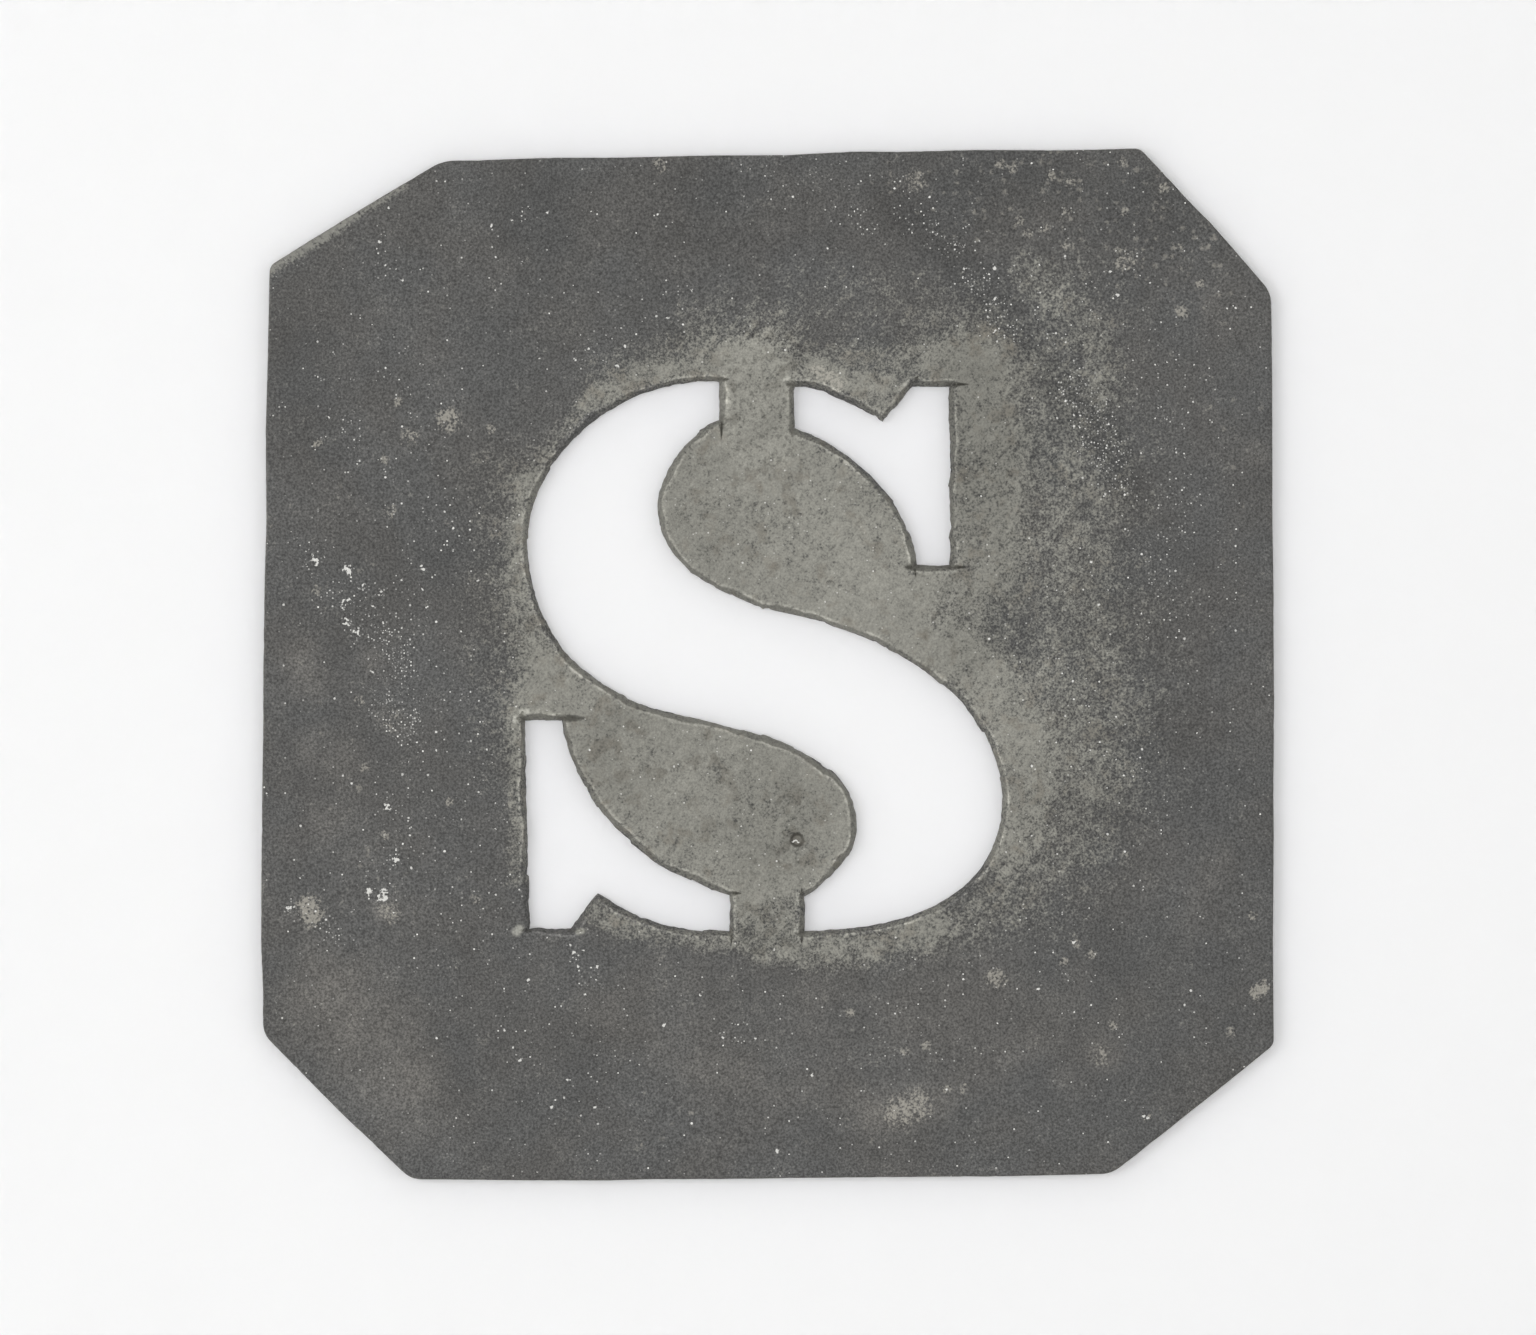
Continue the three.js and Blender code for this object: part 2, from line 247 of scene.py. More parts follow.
# Camera, floor and light. A lamp has a place and a power.
PICTURE_WIDTH = 153.6 * MM
PICTURE_CENTRE = np.array([-0.02, -0.35]) * MM
CAMERA_DISTANCE = 1.0
SENSOR_WIDTH = 36.0
FLOOR_REACH = 2.0
FLOOR_GAP = 0.02 * MM
SKY_STRENGTH = 0.195
LAMP_SIZE = 0.7
LAMPS = {
    "top_lamp": ((0.0, 0.0, 1.8), 16.2),
    "left_lamp": ((-1.0, 0.1, 0.85), 7.1),
    "right_lamp": ((1.1, 0.2, 0.8), 2.5),
}


# Drawing the outlines

def heading(degrees):
    """The unit vector along a heading, in degrees anticlockwise from +X."""
    return np.array([math.cos(math.radians(degrees)), math.sin(math.radians(degrees))])


def bend(start, leaving, end, arriving, pull_out=PULL, pull_in=PULL):
    """A cubic Bezier curve. Its handles lie along the two headings, and each is a share of the straight
    distance long."""
    distance = np.linalg.norm(end - start)
    out = start + heading(leaving) * pull_out * distance
    back = end - heading(arriving) * pull_in * distance
    t = np.linspace(0, 1, DRAWN_STEPS)[:, None]
    return (1 - t) ** 3 * start + 3 * (1 - t) ** 2 * t * out + 3 * (1 - t) * t**2 * back + t**3 * end


def straight(start, end, bow=0.0):
    """The line between two points, bowed to its right by a parabola that is highest in the middle."""
    t = np.linspace(0, 1, DRAWN_STEPS)[:, None]
    span = end - start
    right = np.array([span[1], -span[0]]) / np.linalg.norm(span)
    return start + span * t + right * bow * 4 * t * (1 - t)


def joined(*pieces):
    """Pieces of line end to end as one run, without the points that they share."""
    return np.concatenate([pieces[0], *[piece[1:] for piece in pieces[1:]]])


def sheet_outline():
    """The snipped outline as one closed run, anticlockwise from the middle of the left side. Its sides
    are straight or bowed, and over each worn corner lies a parabola that starts and ends a set reach
    from it."""
    left_top = SHEET_LEFT + LEFT_LEAN
    right_top = SHEET_RIGHT - RIGHT_LEAN
    top_left = SHEET_TOP - TOP_FALL
    bottom_right = SHEET_BOTTOM + BOTTOM_RISE
    corners = np.array([
        [SHEET_LEFT, SHEET_BOTTOM + LOWER_LEFT_CLIMB],
        [SHEET_LEFT + LOWER_LEFT_RUN, SHEET_BOTTOM],
        [SHEET_RIGHT - LOWER_RIGHT_RUN, bottom_right],
        [SHEET_RIGHT, bottom_right + LOWER_RIGHT_CLIMB],
        [right_top, SHEET_TOP - UPPER_RIGHT_FALL],
        [right_top - UPPER_RIGHT_RUN, SHEET_TOP],
        [left_top + UPPER_LEFT_RUN, top_left],
        [left_top, top_left - UPPER_LEFT_FALL],
    ])
    blunt = np.array([True, True, True, False, True, False, True, False])
    reach = np.where(blunt, BLUNT_CORNER, CRISP_CORNER)[:, None]
    bows = [OTHER_BOW, BOTTOM_BOW, *[OTHER_BOW] * 5, LEFT_BOW]
    back = np.roll(corners, 1, axis=0) - corners
    ahead = np.roll(corners, -1, axis=0) - corners
    enter = corners + reach * back / np.linalg.norm(back, axis=1)[:, None]
    leave = corners + reach * ahead / np.linalg.norm(ahead, axis=1)[:, None]
    t = np.linspace(0, 1, DRAWN_STEPS)[:, None]
    pieces = []
    for i, corner in enumerate(corners):
        pieces.append((1 - t) ** 2 * enter[i] + 2 * (1 - t) * t * corner + t**2 * leave[i])
        pieces.append(straight(leave[i], enter[(i + 1) % len(corners)], bows[i]))
    closed = joined(*pieces)
    start = len(closed) - DRAWN_STEPS // 2
    return np.roll(closed, -start, axis=0)


# Edges of the letter that its openings share
letter_right = LETTER_WIDTH / 2
letter_top = LETTER_HEIGHT / 2
letter_left = -letter_right
letter_bottom = -letter_top
upper_tie_left = UPPER_TIE_X - TIE_WIDTH / 2
upper_tie_right = UPPER_TIE_X + TIE_WIDTH / 2
lower_tie_left = LOWER_TIE_X - TIE_WIDTH / 2
lower_tie_right = LOWER_TIE_X + TIE_WIDTH / 2


def point(x, y):
    """A place in the letter, from its centre, as a place on the sheet."""
    return np.array([x, y]) + LETTER_CENTRE


def stroke_opening():
    """The bowls and the spine between them, as runs from corner to corner, anticlockwise from the upper
    tie. Gives the nicks too: a corner, the heading in which the chisel ran on, how far, and half of the
    nick's width."""
    along = heading(SPINE_SLOPE)
    across = heading(SPINE_SLOPE + UP)
    to_edge = across * SPINE_STROKE / 2 + along * SPINE_STAGGER / 2
    spine_upper = point(*(SPINE_CENTRE + to_edge))
    spine_lower = point(*(SPINE_CENTRE - to_edge))
    upper_bowl = point(letter_left, letter_top - UPPER_BOWL_DROP)
    upper_counter = point(letter_left + UPPER_BOWL_STROKE, letter_top - UPPER_COUNTER_DROP)
    lower_bowl = point(letter_right, letter_bottom + LOWER_BOWL_RISE)
    lower_counter = point(letter_right - LOWER_BOWL_STROKE, letter_bottom + LOWER_COUNTER_RISE)
    tie_top = point(upper_tie_left, letter_top)
    tie_under = point(upper_tie_left, letter_top - UPPER_BOWL_HAIRLINE)
    tie_foot = point(lower_tie_right, letter_bottom)
    tie_over = point(lower_tie_right, letter_bottom + LOWER_BOWL_HAIRLINE)
    runs = [
        joined(
            bend(tie_top, LEFT - UPPER_BOWL_TILT, upper_bowl, DOWN),
            bend(upper_bowl, DOWN, spine_lower, SPINE_SLOPE, FULL_PULL, PULL),
            bend(spine_lower, SPINE_SLOPE, lower_counter, DOWN),
            bend(lower_counter, DOWN, tie_over, LEFT + LOWER_COUNTER_TILT),
        ),
        straight(tie_over, tie_foot),
        joined(
            bend(tie_foot, RIGHT, lower_bowl, UP, SLACK_PULL, FULL_PULL),
            bend(lower_bowl, UP, spine_upper, LEFT + SPINE_SLOPE),
            bend(spine_upper, LEFT + SPINE_SLOPE, upper_counter, UP),
            bend(upper_counter, UP, tie_under, RIGHT + UPPER_COUNTER_TILT, SLACK_PULL, SLACK_PULL),
        ),
        straight(tie_under, tie_top),
    ]
    nicks = [
        (tie_top, RIGHT, TINY_NICK, FINE_NICK),
        (tie_under, DOWN, LONG_NICK, FINE_NICK),
        (tie_over, UP, TINY_NICK, FINE_NICK),
        (tie_foot, DOWN, SHORT_NICK, FINE_NICK),
        (tie_foot, LEFT, TINY_NICK, FINE_NICK),
    ]
    return runs, nicks


def upper_serif_opening():
    """The upper serif with its beak, as runs from corner to corner, anticlockwise from the upper tie.
    Gives its nicks too."""
    top = letter_top - UPPER_SERIF_DROP
    right = letter_right - UPPER_SERIF_INSET
    foot = top - UPPER_SERIF_HEIGHT
    beak = point(right - UPPER_BEAK_WIDTH, top)
    notch = beak - np.array([UPPER_NOTCH_SLANT, UPPER_NOTCH_DEPTH])
    top_right = point(right, top)
    foot_right = point(right, foot)
    foot_left = point(right - UPPER_SERIF_FOOT, foot)
    tie_top = point(upper_tie_right, top)
    tie_under = point(upper_tie_right, top - UPPER_SERIF_HAIRLINE)
    runs = [
        straight(tie_top, tie_under),
        bend(tie_under, RIGHT - UPPER_BELLY_TILT, foot_left, DOWN + UPPER_FOOT_TILT),
        straight(foot_left, foot_right),
        straight(foot_right, top_right),
        straight(top_right, beak),
        straight(beak, notch),
        bend(notch, LEFT - UPPER_BEAK_TILT, tie_top, LEFT, SLACK_PULL, SLACK_PULL),
    ]
    slant = math.degrees(math.atan2(UPPER_NOTCH_DEPTH, UPPER_NOTCH_SLANT))
    nicks = [
        (tie_top, UP, TINY_NICK, FINE_NICK),
        (tie_top, LEFT, TINY_NICK, BROAD_NICK),
        (tie_under, DOWN, TINY_NICK, FINE_NICK),
        (beak, slant, SHORT_NICK, FINE_NICK),
        (top_right, RIGHT, LONG_NICK, FINE_NICK),
        (foot_right, RIGHT, LONG_NICK, FINE_NICK),
        (foot_left, LEFT, SHORT_NICK, BROAD_NICK),
        (foot_left, DOWN + UPPER_FOOT_TILT, SHORT_NICK, FINE_NICK),
    ]
    return runs, nicks


def lower_serif_opening():
    """The lower serif with its beak, as runs from corner to corner, anticlockwise from the lower tie.
    Gives its nicks too."""
    left = letter_left - LOWER_SERIF_OUTSET
    foot = letter_bottom + LOWER_SERIF_RISE
    head = foot + LOWER_SERIF_HEIGHT
    foot_left = point(left + LOWER_SERIF_LEAN, foot)
    beak = foot_left + np.array([LOWER_BEAK_WIDTH, 0.0])
    notch = beak + np.array([LOWER_NOTCH_SLANT, LOWER_NOTCH_DEPTH])
    head_left = point(left, head)
    head_right = point(left + LOWER_SERIF_HEAD, head)
    tie_foot = point(lower_tie_left, letter_bottom)
    tie_over = point(lower_tie_left, letter_bottom + LOWER_SERIF_HAIRLINE)
    runs = [
        straight(tie_foot, tie_over),
        bend(tie_over, LEFT - LOWER_BELLY_TILT, head_right, UP + LOWER_HEAD_TILT),
        straight(head_right, head_left),
        straight(head_left, foot_left),
        straight(foot_left, beak),
        straight(beak, notch),
        bend(notch, RIGHT - LOWER_BEAK_TILT, tie_foot, RIGHT, FULL_PULL, FULL_PULL),
    ]
    nicks = [
        (head_right, RIGHT, LONGEST_NICK, BROAD_NICK),
        (head_left, UP, TINY_NICK, BROAD_NICK),
        (head_left, LEFT, TINY_NICK, FINE_NICK),
        (foot_left, LEFT, TINY_NICK, FINE_NICK),
        (beak, RIGHT, SHORT_NICK, FINE_NICK),
        (tie_over, RIGHT, SHORT_NICK, FINE_NICK),
        (tie_foot, DOWN, SHORT_NICK, FINE_NICK),
    ]
    return runs, nicks


# Carrying a profile along an outline

class Route(NamedTuple):
    """A closed outline as rows of points: where each is, which way the outline runs there, which side
    the metal is on, how far a mitred corner shifts an inset point along, the way gone so far, and the
    way to the nearest corner."""
    place: np.ndarray
    way: np.ndarray
    side: np.ndarray
    mitre: np.ndarray
    gone: np.ndarray
    to_corner: np.ndarray


def spread(run):
    """Points along a run, closer together towards its ends, and how far along each lies. The step grows
    from the fine one with the distance from the nearer end, up to the coarse one, and a point lies
    wherever the sum of lengths over steps is a whole number."""
    gone = np.concatenate([[0.0], np.cumsum(np.linalg.norm(np.diff(run, axis=0), axis=1))])
    length = gone[-1]
    place = np.linspace(0, length, 4 * len(run))
    step = np.minimum(COARSE_STEP, FINE_STEP + STEP_GROWTH * np.minimum(place, length - place))
    count = np.concatenate([[0.0], np.cumsum(np.diff(place) * 2 / (step[1:] + step[:-1]))])
    stops = np.interp(np.linspace(0, count[-1], math.ceil(count[-1]) + 1), count, place)
    return stops, np.column_stack([np.interp(stops, gone, run[:, 0]), np.interp(stops, gone, run[:, 1])])


def ways_along(stops, places):
    """Unit tangents of a row of points, from the differences between neighbours."""
    way = np.gradient(places, stops, axis=0)
    return way / np.linalg.norm(way, axis=1)[:, None]


def trace(runs, metal):
    """The runs as one route. Metal is 1 where the metal lies left of the route and -1 where it lies
    right. At a corner of turn a, an inset point moves along by tan(a / 2) of its inset, and that shift
    fades out over the mitre's reach."""
    drawn = [spread(run) for run in runs]
    ways = [ways_along(stops, places) for stops, places in drawn]
    routes = []
    walked = 0.0
    for i, (stops, places) in enumerate(drawn):
        before = ways[i - 1][-1]
        after = ways[(i + 1) % len(ways)][0]
        way = ways[i]
        turn_in = math.atan2(before[0] * way[0][1] - before[1] * way[0][0], before @ way[0])
        turn_out = math.atan2(way[-1][0] * after[1] - way[-1][1] * after[0], way[-1] @ after)
        length = stops[-1]
        fade_in = np.clip(1 - stops / MITRE_REACH, 0, 1)
        fade_out = np.clip(1 - (length - stops) / MITRE_REACH, 0, 1)
        mitre = metal * (math.tan(turn_in / 2) * fade_in - math.tan(turn_out / 2) * fade_out)
        side = metal * np.column_stack([-way[:, 1], way[:, 0]])
        to_corner = np.minimum(stops, length - stops)
        routes.append([part[:-1] for part in (places, way, side, mitre, walked + stops, to_corner)])
        walked += length
    return Route(*[np.concatenate(parts) for parts in zip(*routes)])


def wander(gone, spacing, size, slip=0.0):
    """Random steps from side to side: a random value at about each spacing, joined by straight lines,
    closed on itself. With a slip, the line jumps a random step at each value, as where one blow of a
    tool meets the next."""
    length = gone[-1]
    count = max(FEWEST_KNOTS, round(length / spacing))
    knots = (np.arange(count) + rng.uniform(-KNOT_NUDGE, KNOT_NUDGE, count)) * length / count
    values = rng.normal(0, size, count)
    jumps = rng.normal(0, slip, count)
    knots = np.column_stack([knots - SLIP_LENGTH / 2, knots + SLIP_LENGTH / 2]).ravel()
    values = np.column_stack([values - jumps / 2, values + jumps / 2]).ravel()
    return np.interp(gone, knots, values, period=length)


def hand_cut(route, spacing, size, slip=0.0):
    """The route moved sideways by the hand's wander, which settles to nothing at the corners."""
    held = np.clip(route.to_corner / SETTLE_LENGTH, 0, 1)
    shift = wander(route.gone, spacing, size, slip) * held
    return route._replace(place=route.place + route.side * shift[:, None])


def inset(route, depth, height):
    """The route set into the metal by a depth, with its corners mitred, at a height."""
    depth = np.broadcast_to(depth, len(route.gone))[:, None]
    plan = route.place + (route.side + route.way * route.mitre[:, None]) * depth
    return np.column_stack([plan, np.broadcast_to(height, len(route.gone))])


# Gathering the piece

class Gathered:
    """The piece's points, triangles and wear, row by row."""

    def __init__(self):
        self.rows = []
        self.triangles = []
        self.wear = []
        self.count = 0

    def add(self, points, cut=0.0, lip=0.0, rim=0.0):
        """Adds a row of points with its wear values, and gives their numbers."""
        numbers = np.arange(self.count, self.count + len(points))
        self.rows.append(points)
        values = [np.broadcast_to(value, len(points)) for value in (cut, lip, rim)]
        self.wear.append(np.column_stack(values))
        self.count += len(points)
        return numbers

    def band(self, lower, upper, metal):
        """Two triangles for each step between two closed rows, facing away from the metal."""
        a, b = lower, np.roll(lower, -1)
        c, d = np.roll(upper, -1), upper
        faces = np.concatenate([np.column_stack([a, b, c]), np.column_stack([a, c, d])])
        self.triangles.append(faces if metal > 0 else faces[:, ::-1])

    def points(self):
        """All points so far, as one array."""
        return np.concatenate(self.rows)

    def rings(self, rows):
        """Closed rows as they look from above."""
        plan = self.points()[:, :2]
        return [plan[row] for row in rows]

    def face(self, rows, loose, height, facing):
        """Fills between closed rows, with loose points at a height. It faces up for 1 and down for
        -1."""
        outline, *holes = self.rings(rows)
        faces = filled(outline, holes, loose)
        numbers = self.add(np.column_stack([loose, np.full(len(loose), height)]))
        self.triangles.append(np.concatenate([*rows, numbers])[faces][:, ::facing])


def clearance(points, others):
    """Distance from each point to the nearest of the others, a block of points at a time."""
    blocks = np.array_split(points, max(1, len(points) * len(others) // PAIRS_AT_ONCE))
    return np.concatenate([
        np.sqrt(((block[:, None, :] - others[None, :, :]) ** 2).sum(2).min(1)) for block in blocks
    ])


def enclosed(points, ring):
    """Which points lie inside a closed ring: those with an odd number of the ring's edges to their
    right."""
    x, y = points[:, :1], points[:, 1:2]
    ax, ay = ring[:, 0][None, :], ring[:, 1][None, :]
    bx, by = np.roll(ring[:, 0], -1)[None, :], np.roll(ring[:, 1], -1)[None, :]
    crosses = (ay > y) != (by > y)
    rise = np.where(by == ay, 1.0, by - ay)
    return (crosses & (x < ax + (y - ay) * (bx - ax) / rise)).sum(1) % 2 == 1


def lattice(step, outline):
    """A lattice of equal triangles over the outline's box, nudged at random, as loose points."""
    low, high = outline.min(0), outline.max(0)
    rows = np.arange(low[1], high[1], step * math.sqrt(0.75))
    columns = np.arange(low[0], high[0], step)
    x, y = np.meshgrid(columns, rows)
    x = x + step / 2 * (np.arange(len(rows)) % 2)[:, None]
    spots = np.column_stack([x.ravel(), y.ravel()])
    return spots + rng.uniform(-LATTICE_NUDGE, LATTICE_NUDGE, (x.size, 2)) * step


def within(points, outline, holes):
    """Which points lie inside the outline and outside every hole, a block of points at a time."""
    blocks = np.array_split(points, max(1, len(points) * len(outline) // PAIRS_AT_ONCE))
    kept = np.concatenate([enclosed(block, outline) for block in blocks])
    for hole in holes:
        low, high = hole.min(0), hole.max(0)
        close = np.flatnonzero(kept & (points > low).all(1) & (points < high).all(1))
        for part in np.array_split(close, max(1, len(close) * len(hole) // PAIRS_AT_ONCE)):
            kept[part] &= ~enclosed(points[part], hole)
    return kept


def filled(outline, holes, loose):
    """Triangles between the outline, the holes and the loose points, as numbers in that order: a
    Delaunay fill of them all that keeps the rings' edges. A triangle on an edge of a ring stays if it
    is on that edge's metal side, and one that only has its corners on rings stays if its middle lies in
    the metal."""
    rings = [outline, *holes]
    starts = np.cumsum([0, *[len(ring) for ring in rings]])
    after = np.concatenate([
        start + np.roll(np.arange(len(ring)), -1) for start, ring in zip(starts, rings)
    ])
    corners = np.concatenate([*rings, loose])
    edges = np.column_stack([np.arange(len(after)), after])
    made = delaunay_2d_cdt((corners / MM).tolist(), edges.tolist(), [], 0, TINY)
    first = np.array([sources[0] for sources in made[3]])
    faces = first[np.array(made[2])]
    follows = np.concatenate([after, np.full(len(loose), -1)])
    ahead = np.roll(faces, -1, axis=1)
    forward = (follows[faces] == ahead).astype(int) - (follows[ahead] == faces)
    metal_side = (forward * np.where(faces < len(outline), 1, -1)).sum(1)
    kept = metal_side >= 0
    unsure = (metal_side == 0) & (faces < len(after)).all(1)
    kept[unsure] = within(corners[faces[unsure]].mean(1), outline, holes)
    return faces[kept]


# Wear that is listed stroke by stroke. Each stroke is a line of places in millimetres from the sheet's
# centre, how wide it reaches and how far it fades, both in millimetres, and how strong it is.

def round_marks(groups, reach, fade, strength):
    """A round stroke at every place in the groups."""
    return {
        f"{name} {place}": ([place], reach, fade, strength)
        for name, places in groups.items() for place in places
    }


RUBBED = {
    "upper counter": ([(-5.5, 16.0), (2.0, 15.5), (9.5, 9.0)], 6.0, 4.0, 0.84),
    "spine side of the upper counter": (
        [(-9.0, 11.5), (-4.0, 8.0), (3.0, 6.0), (9.0, 4.4), (17.0, 1.0)], 0.8, 2.0, 0.8,
    ),
    "upper tie": ([(-1.4, 28.0), (-1.1, 21.0)], 3.0, 2.4, 0.86),
    "bright side of the upper tie": ([(-3.6, 29.8), (-3.0, 23.4)], 1.2, 1.8, 0.85),
    "beside the upper tie": ([(4.6, 29.6), (7.0, 28.4)], 0.4, 1.4, 0.7),
    "edge of the shoulder": ([(-17.4, 26.4), (-12.0, 29.0), (-8.5, 29.3), (-4.0, 29.3)], 0.4, 1.7, 0.6),
    "shoulder": ([(-16.0, 28.4), (-12.0, 30.4), (-6.0, 32.0), (1.0, 32.0)], 0.4, 3.4, 0.36),
    "over the upper serif": ([(3.6, 29.8), (10.0, 29.6), (19.0, 30.4), (21.0, 29.6)], 0.8, 3.0, 0.46),
    "in the notch": ([(9.5, 27.4), (11.2, 25.8), (12.6, 27.0)], 0.8, 1.6, 0.6),
    "top glow": ([(-6.0, 34.0), (8.0, 35.5), (18.0, 35.0)], 0.5, 6.5, 0.24),
    "above the upper bowl": ([(-18.6, 25.6), (-21.2, 22.4), (-23.2, 18.6)], 0.2, 1.3, 0.4),
    "left of the upper bowl": ([(-23.6, 18.0), (-24.6, 13.0), (-24.8, 7.4)], 0.3, 2.1, 0.58),
    "left glow": ([(-25.5, 19.0), (-27.0, 6.0), (-25.5, -4.0), (-25.5, -9.0)], 0.5, 6.0, 0.28),
    "waist": ([(-24.0, 4.0), (-23.2, 1.0), (-20.5, -4.0)], 0.6, 2.6, 0.5),
    "lower counter": ([(-18.5, -4.5), (-9.0, -9.0), (0.0, -12.5), (4.5, -16.0)], 4.8, 4.2, 0.82),
    "spine side of the lower counter": ([(-15.0, -5.4), (-3.0, -8.0), (4.0, -10.5)], 0.8, 2.4, 0.7),
    "belly of the lower counter": ([(-14.6, -13.6), (-9.0, -17.6), (-2.5, -20.8)], 2.0, 3.0, 0.78),
    "bright end of the lower counter": ([(4.0, -11.0), (6.6, -12.6), (7.2, -16.0)], 0.8, 2.2, 0.6),
    "lower tie": ([(0.2, -21.5), (0.3, -26.0)], 2.8, 2.6, 0.6),
    "left of the lower serif": ([(-24.8, -6.0), (-24.8, -21.0)], 0.3, 1.8, 0.46),
    "under the lower serif": ([(-17.5, -24.6), (-14.0, -26.4), (-4.0, -27.6)], 0.5, 1.8, 0.5),
    "under the lower bowl": ([(4.0, -28.4), (9.0, -28.4), (16.0, -26.4)], 0.6, 3.0, 0.58),
    "heel": ([(18.0, -26.0), (24.0, -23.5)], 0.8, 5.0, 0.36),
    "right of the lower bowl": (
        [(23.6, -17.0), (25.2, -13.0), (25.2, -8.0), (22.0, -2.4), (18.0, 1.0)], 1.2, 3.6, 0.64,
    ),
    "under the upper serif": ([(11.0, 8.5), (16.5, 5.6), (19.5, 2.0)], 1.8, 3.4, 0.46),
    "right of the upper serif": ([(20.0, 28.0), (21.0, 18.0), (20.5, 10.0)], 2.2, 4.8, 0.6),
    "beside the lower bowl": ([(27.0, -1.0), (28.5, -8.0)], 0.8, 3.6, 0.2),
    "right glow": ([(24.0, 29.0), (27.0, 16.0), (28.0, 4.0), (30.0, -8.0), (28.0, -18.0)], 1.0, 11.0, 0.38),
    "right margin": ([(31.0, 38.0), (34.0, 12.0), (36.0, 0.0), (34.0, -14.0)], 1.0, 8.0, 0.2),
    "upper right patches": ([(25.8, 39.4), (29.5, 35.8), (32.8, 31.8), (34.0, 27.5)], 0.6, 3.0, 0.26),
    "left side of the upper counter": ([(-9.2, 12.2), (-10.0, 15.5), (-8.6, 19.0)], 0.5, 1.5, 0.5),
}
BRUSHED = {
    "over the letter": ([(-4.0, 33.6), (12.0, 34.6)], 1.5, 3.0, 1.0),
    "heel": ([(17.0, -25.0), (24.0, -22.0)], 1.0, 3.0, 0.6),
}
PITTED = {
    "upper tie": ([(-0.6, 30.0), (-0.6, 23.0)], 3.0, 2.0, 1.0),
    "upper counter": ([(-5.0, 15.0), (6.0, 12.0)], 4.0, 4.0, 0.3),
    "lower counter": ([(-12.0, -9.0), (-1.0, -15.0)], 3.0, 4.0, 0.45),
    "lower tie": ([(0.0, -20.0), (0.3, -27.0)], 2.6, 2.0, 0.6),
    "under the upper serif": ([(15.0, 7.0), (19.0, 4.0)], 2.0, 3.0, 0.5),
}
HAZED = {
    "wiped arc": (
        [
            (-18.0, -33.6), (-11.8, -38.6), (-2.8, -41.4), (8.2, -42.8), (19.2, -42.2), (27.2, -37.6),
            (30.4, -32.0),
        ],
        0.4, 2.4, 0.36,
    ),
    "second wiped arc": ([(33.2, -38.6), (41.2, -27.6), (44.7, -18.6)], 0.4, 2.4, 0.2),
    "between the letter and the arc": ([(-12.0, -34.0), (10.0, -35.5), (22.0, -32.0)], 2.0, 6.0, 0.3),
    "lower left": ([(-44.0, -32.6), (-40.5, -36.0), (-37.6, -41.0)], 1.6, 5.4, 0.76),
    "lower left margin": ([(-36.0, -26.0), (-36.0, -46.0)], 1.0, 4.0, 0.24),
    "left edge": ([(-46.7, 0.6), (-45.8, -2.0)], 0.6, 2.6, 0.55),
    "left, in the dust": ([(-39.8, 0.3)], 0.4, 1.6, 0.5),
    "left, below the dust": ([(-45.0, -8.5), (-43.0, -9.5)], 0.6, 3.0, 0.45),
    "left, round the dust": ([(-38.6, -5.0), (-37.0, -6.4)], 0.4, 2.0, 0.35),
    "left, low": ([(-44.0, -16.0), (-41.0, -19.0)], 0.6, 3.4, 0.3),
    "left foot": ([(-38.4, -24.8)], 0.6, 1.4, 0.6),
    "bottom one": ([(11.0, -45.0), (16.6, -43.8)], 0.5, 2.6, 0.8),
    "lower right": ([(33.8, -39.0)], 0.8, 1.8, 0.55),
    "beside it": ([(29.3, -41.5)], 0.5, 1.2, 0.4),
    "right edge": ([(48.8, 21.0)], 0.8, 1.2, 0.5),
    "upper right": ([(28.0, 45.0), (31.5, 45.4)], 0.6, 1.8, 0.4),
    "upper right corner": ([(44.1, 35.7)], 0.4, 1.2, 0.5),
}
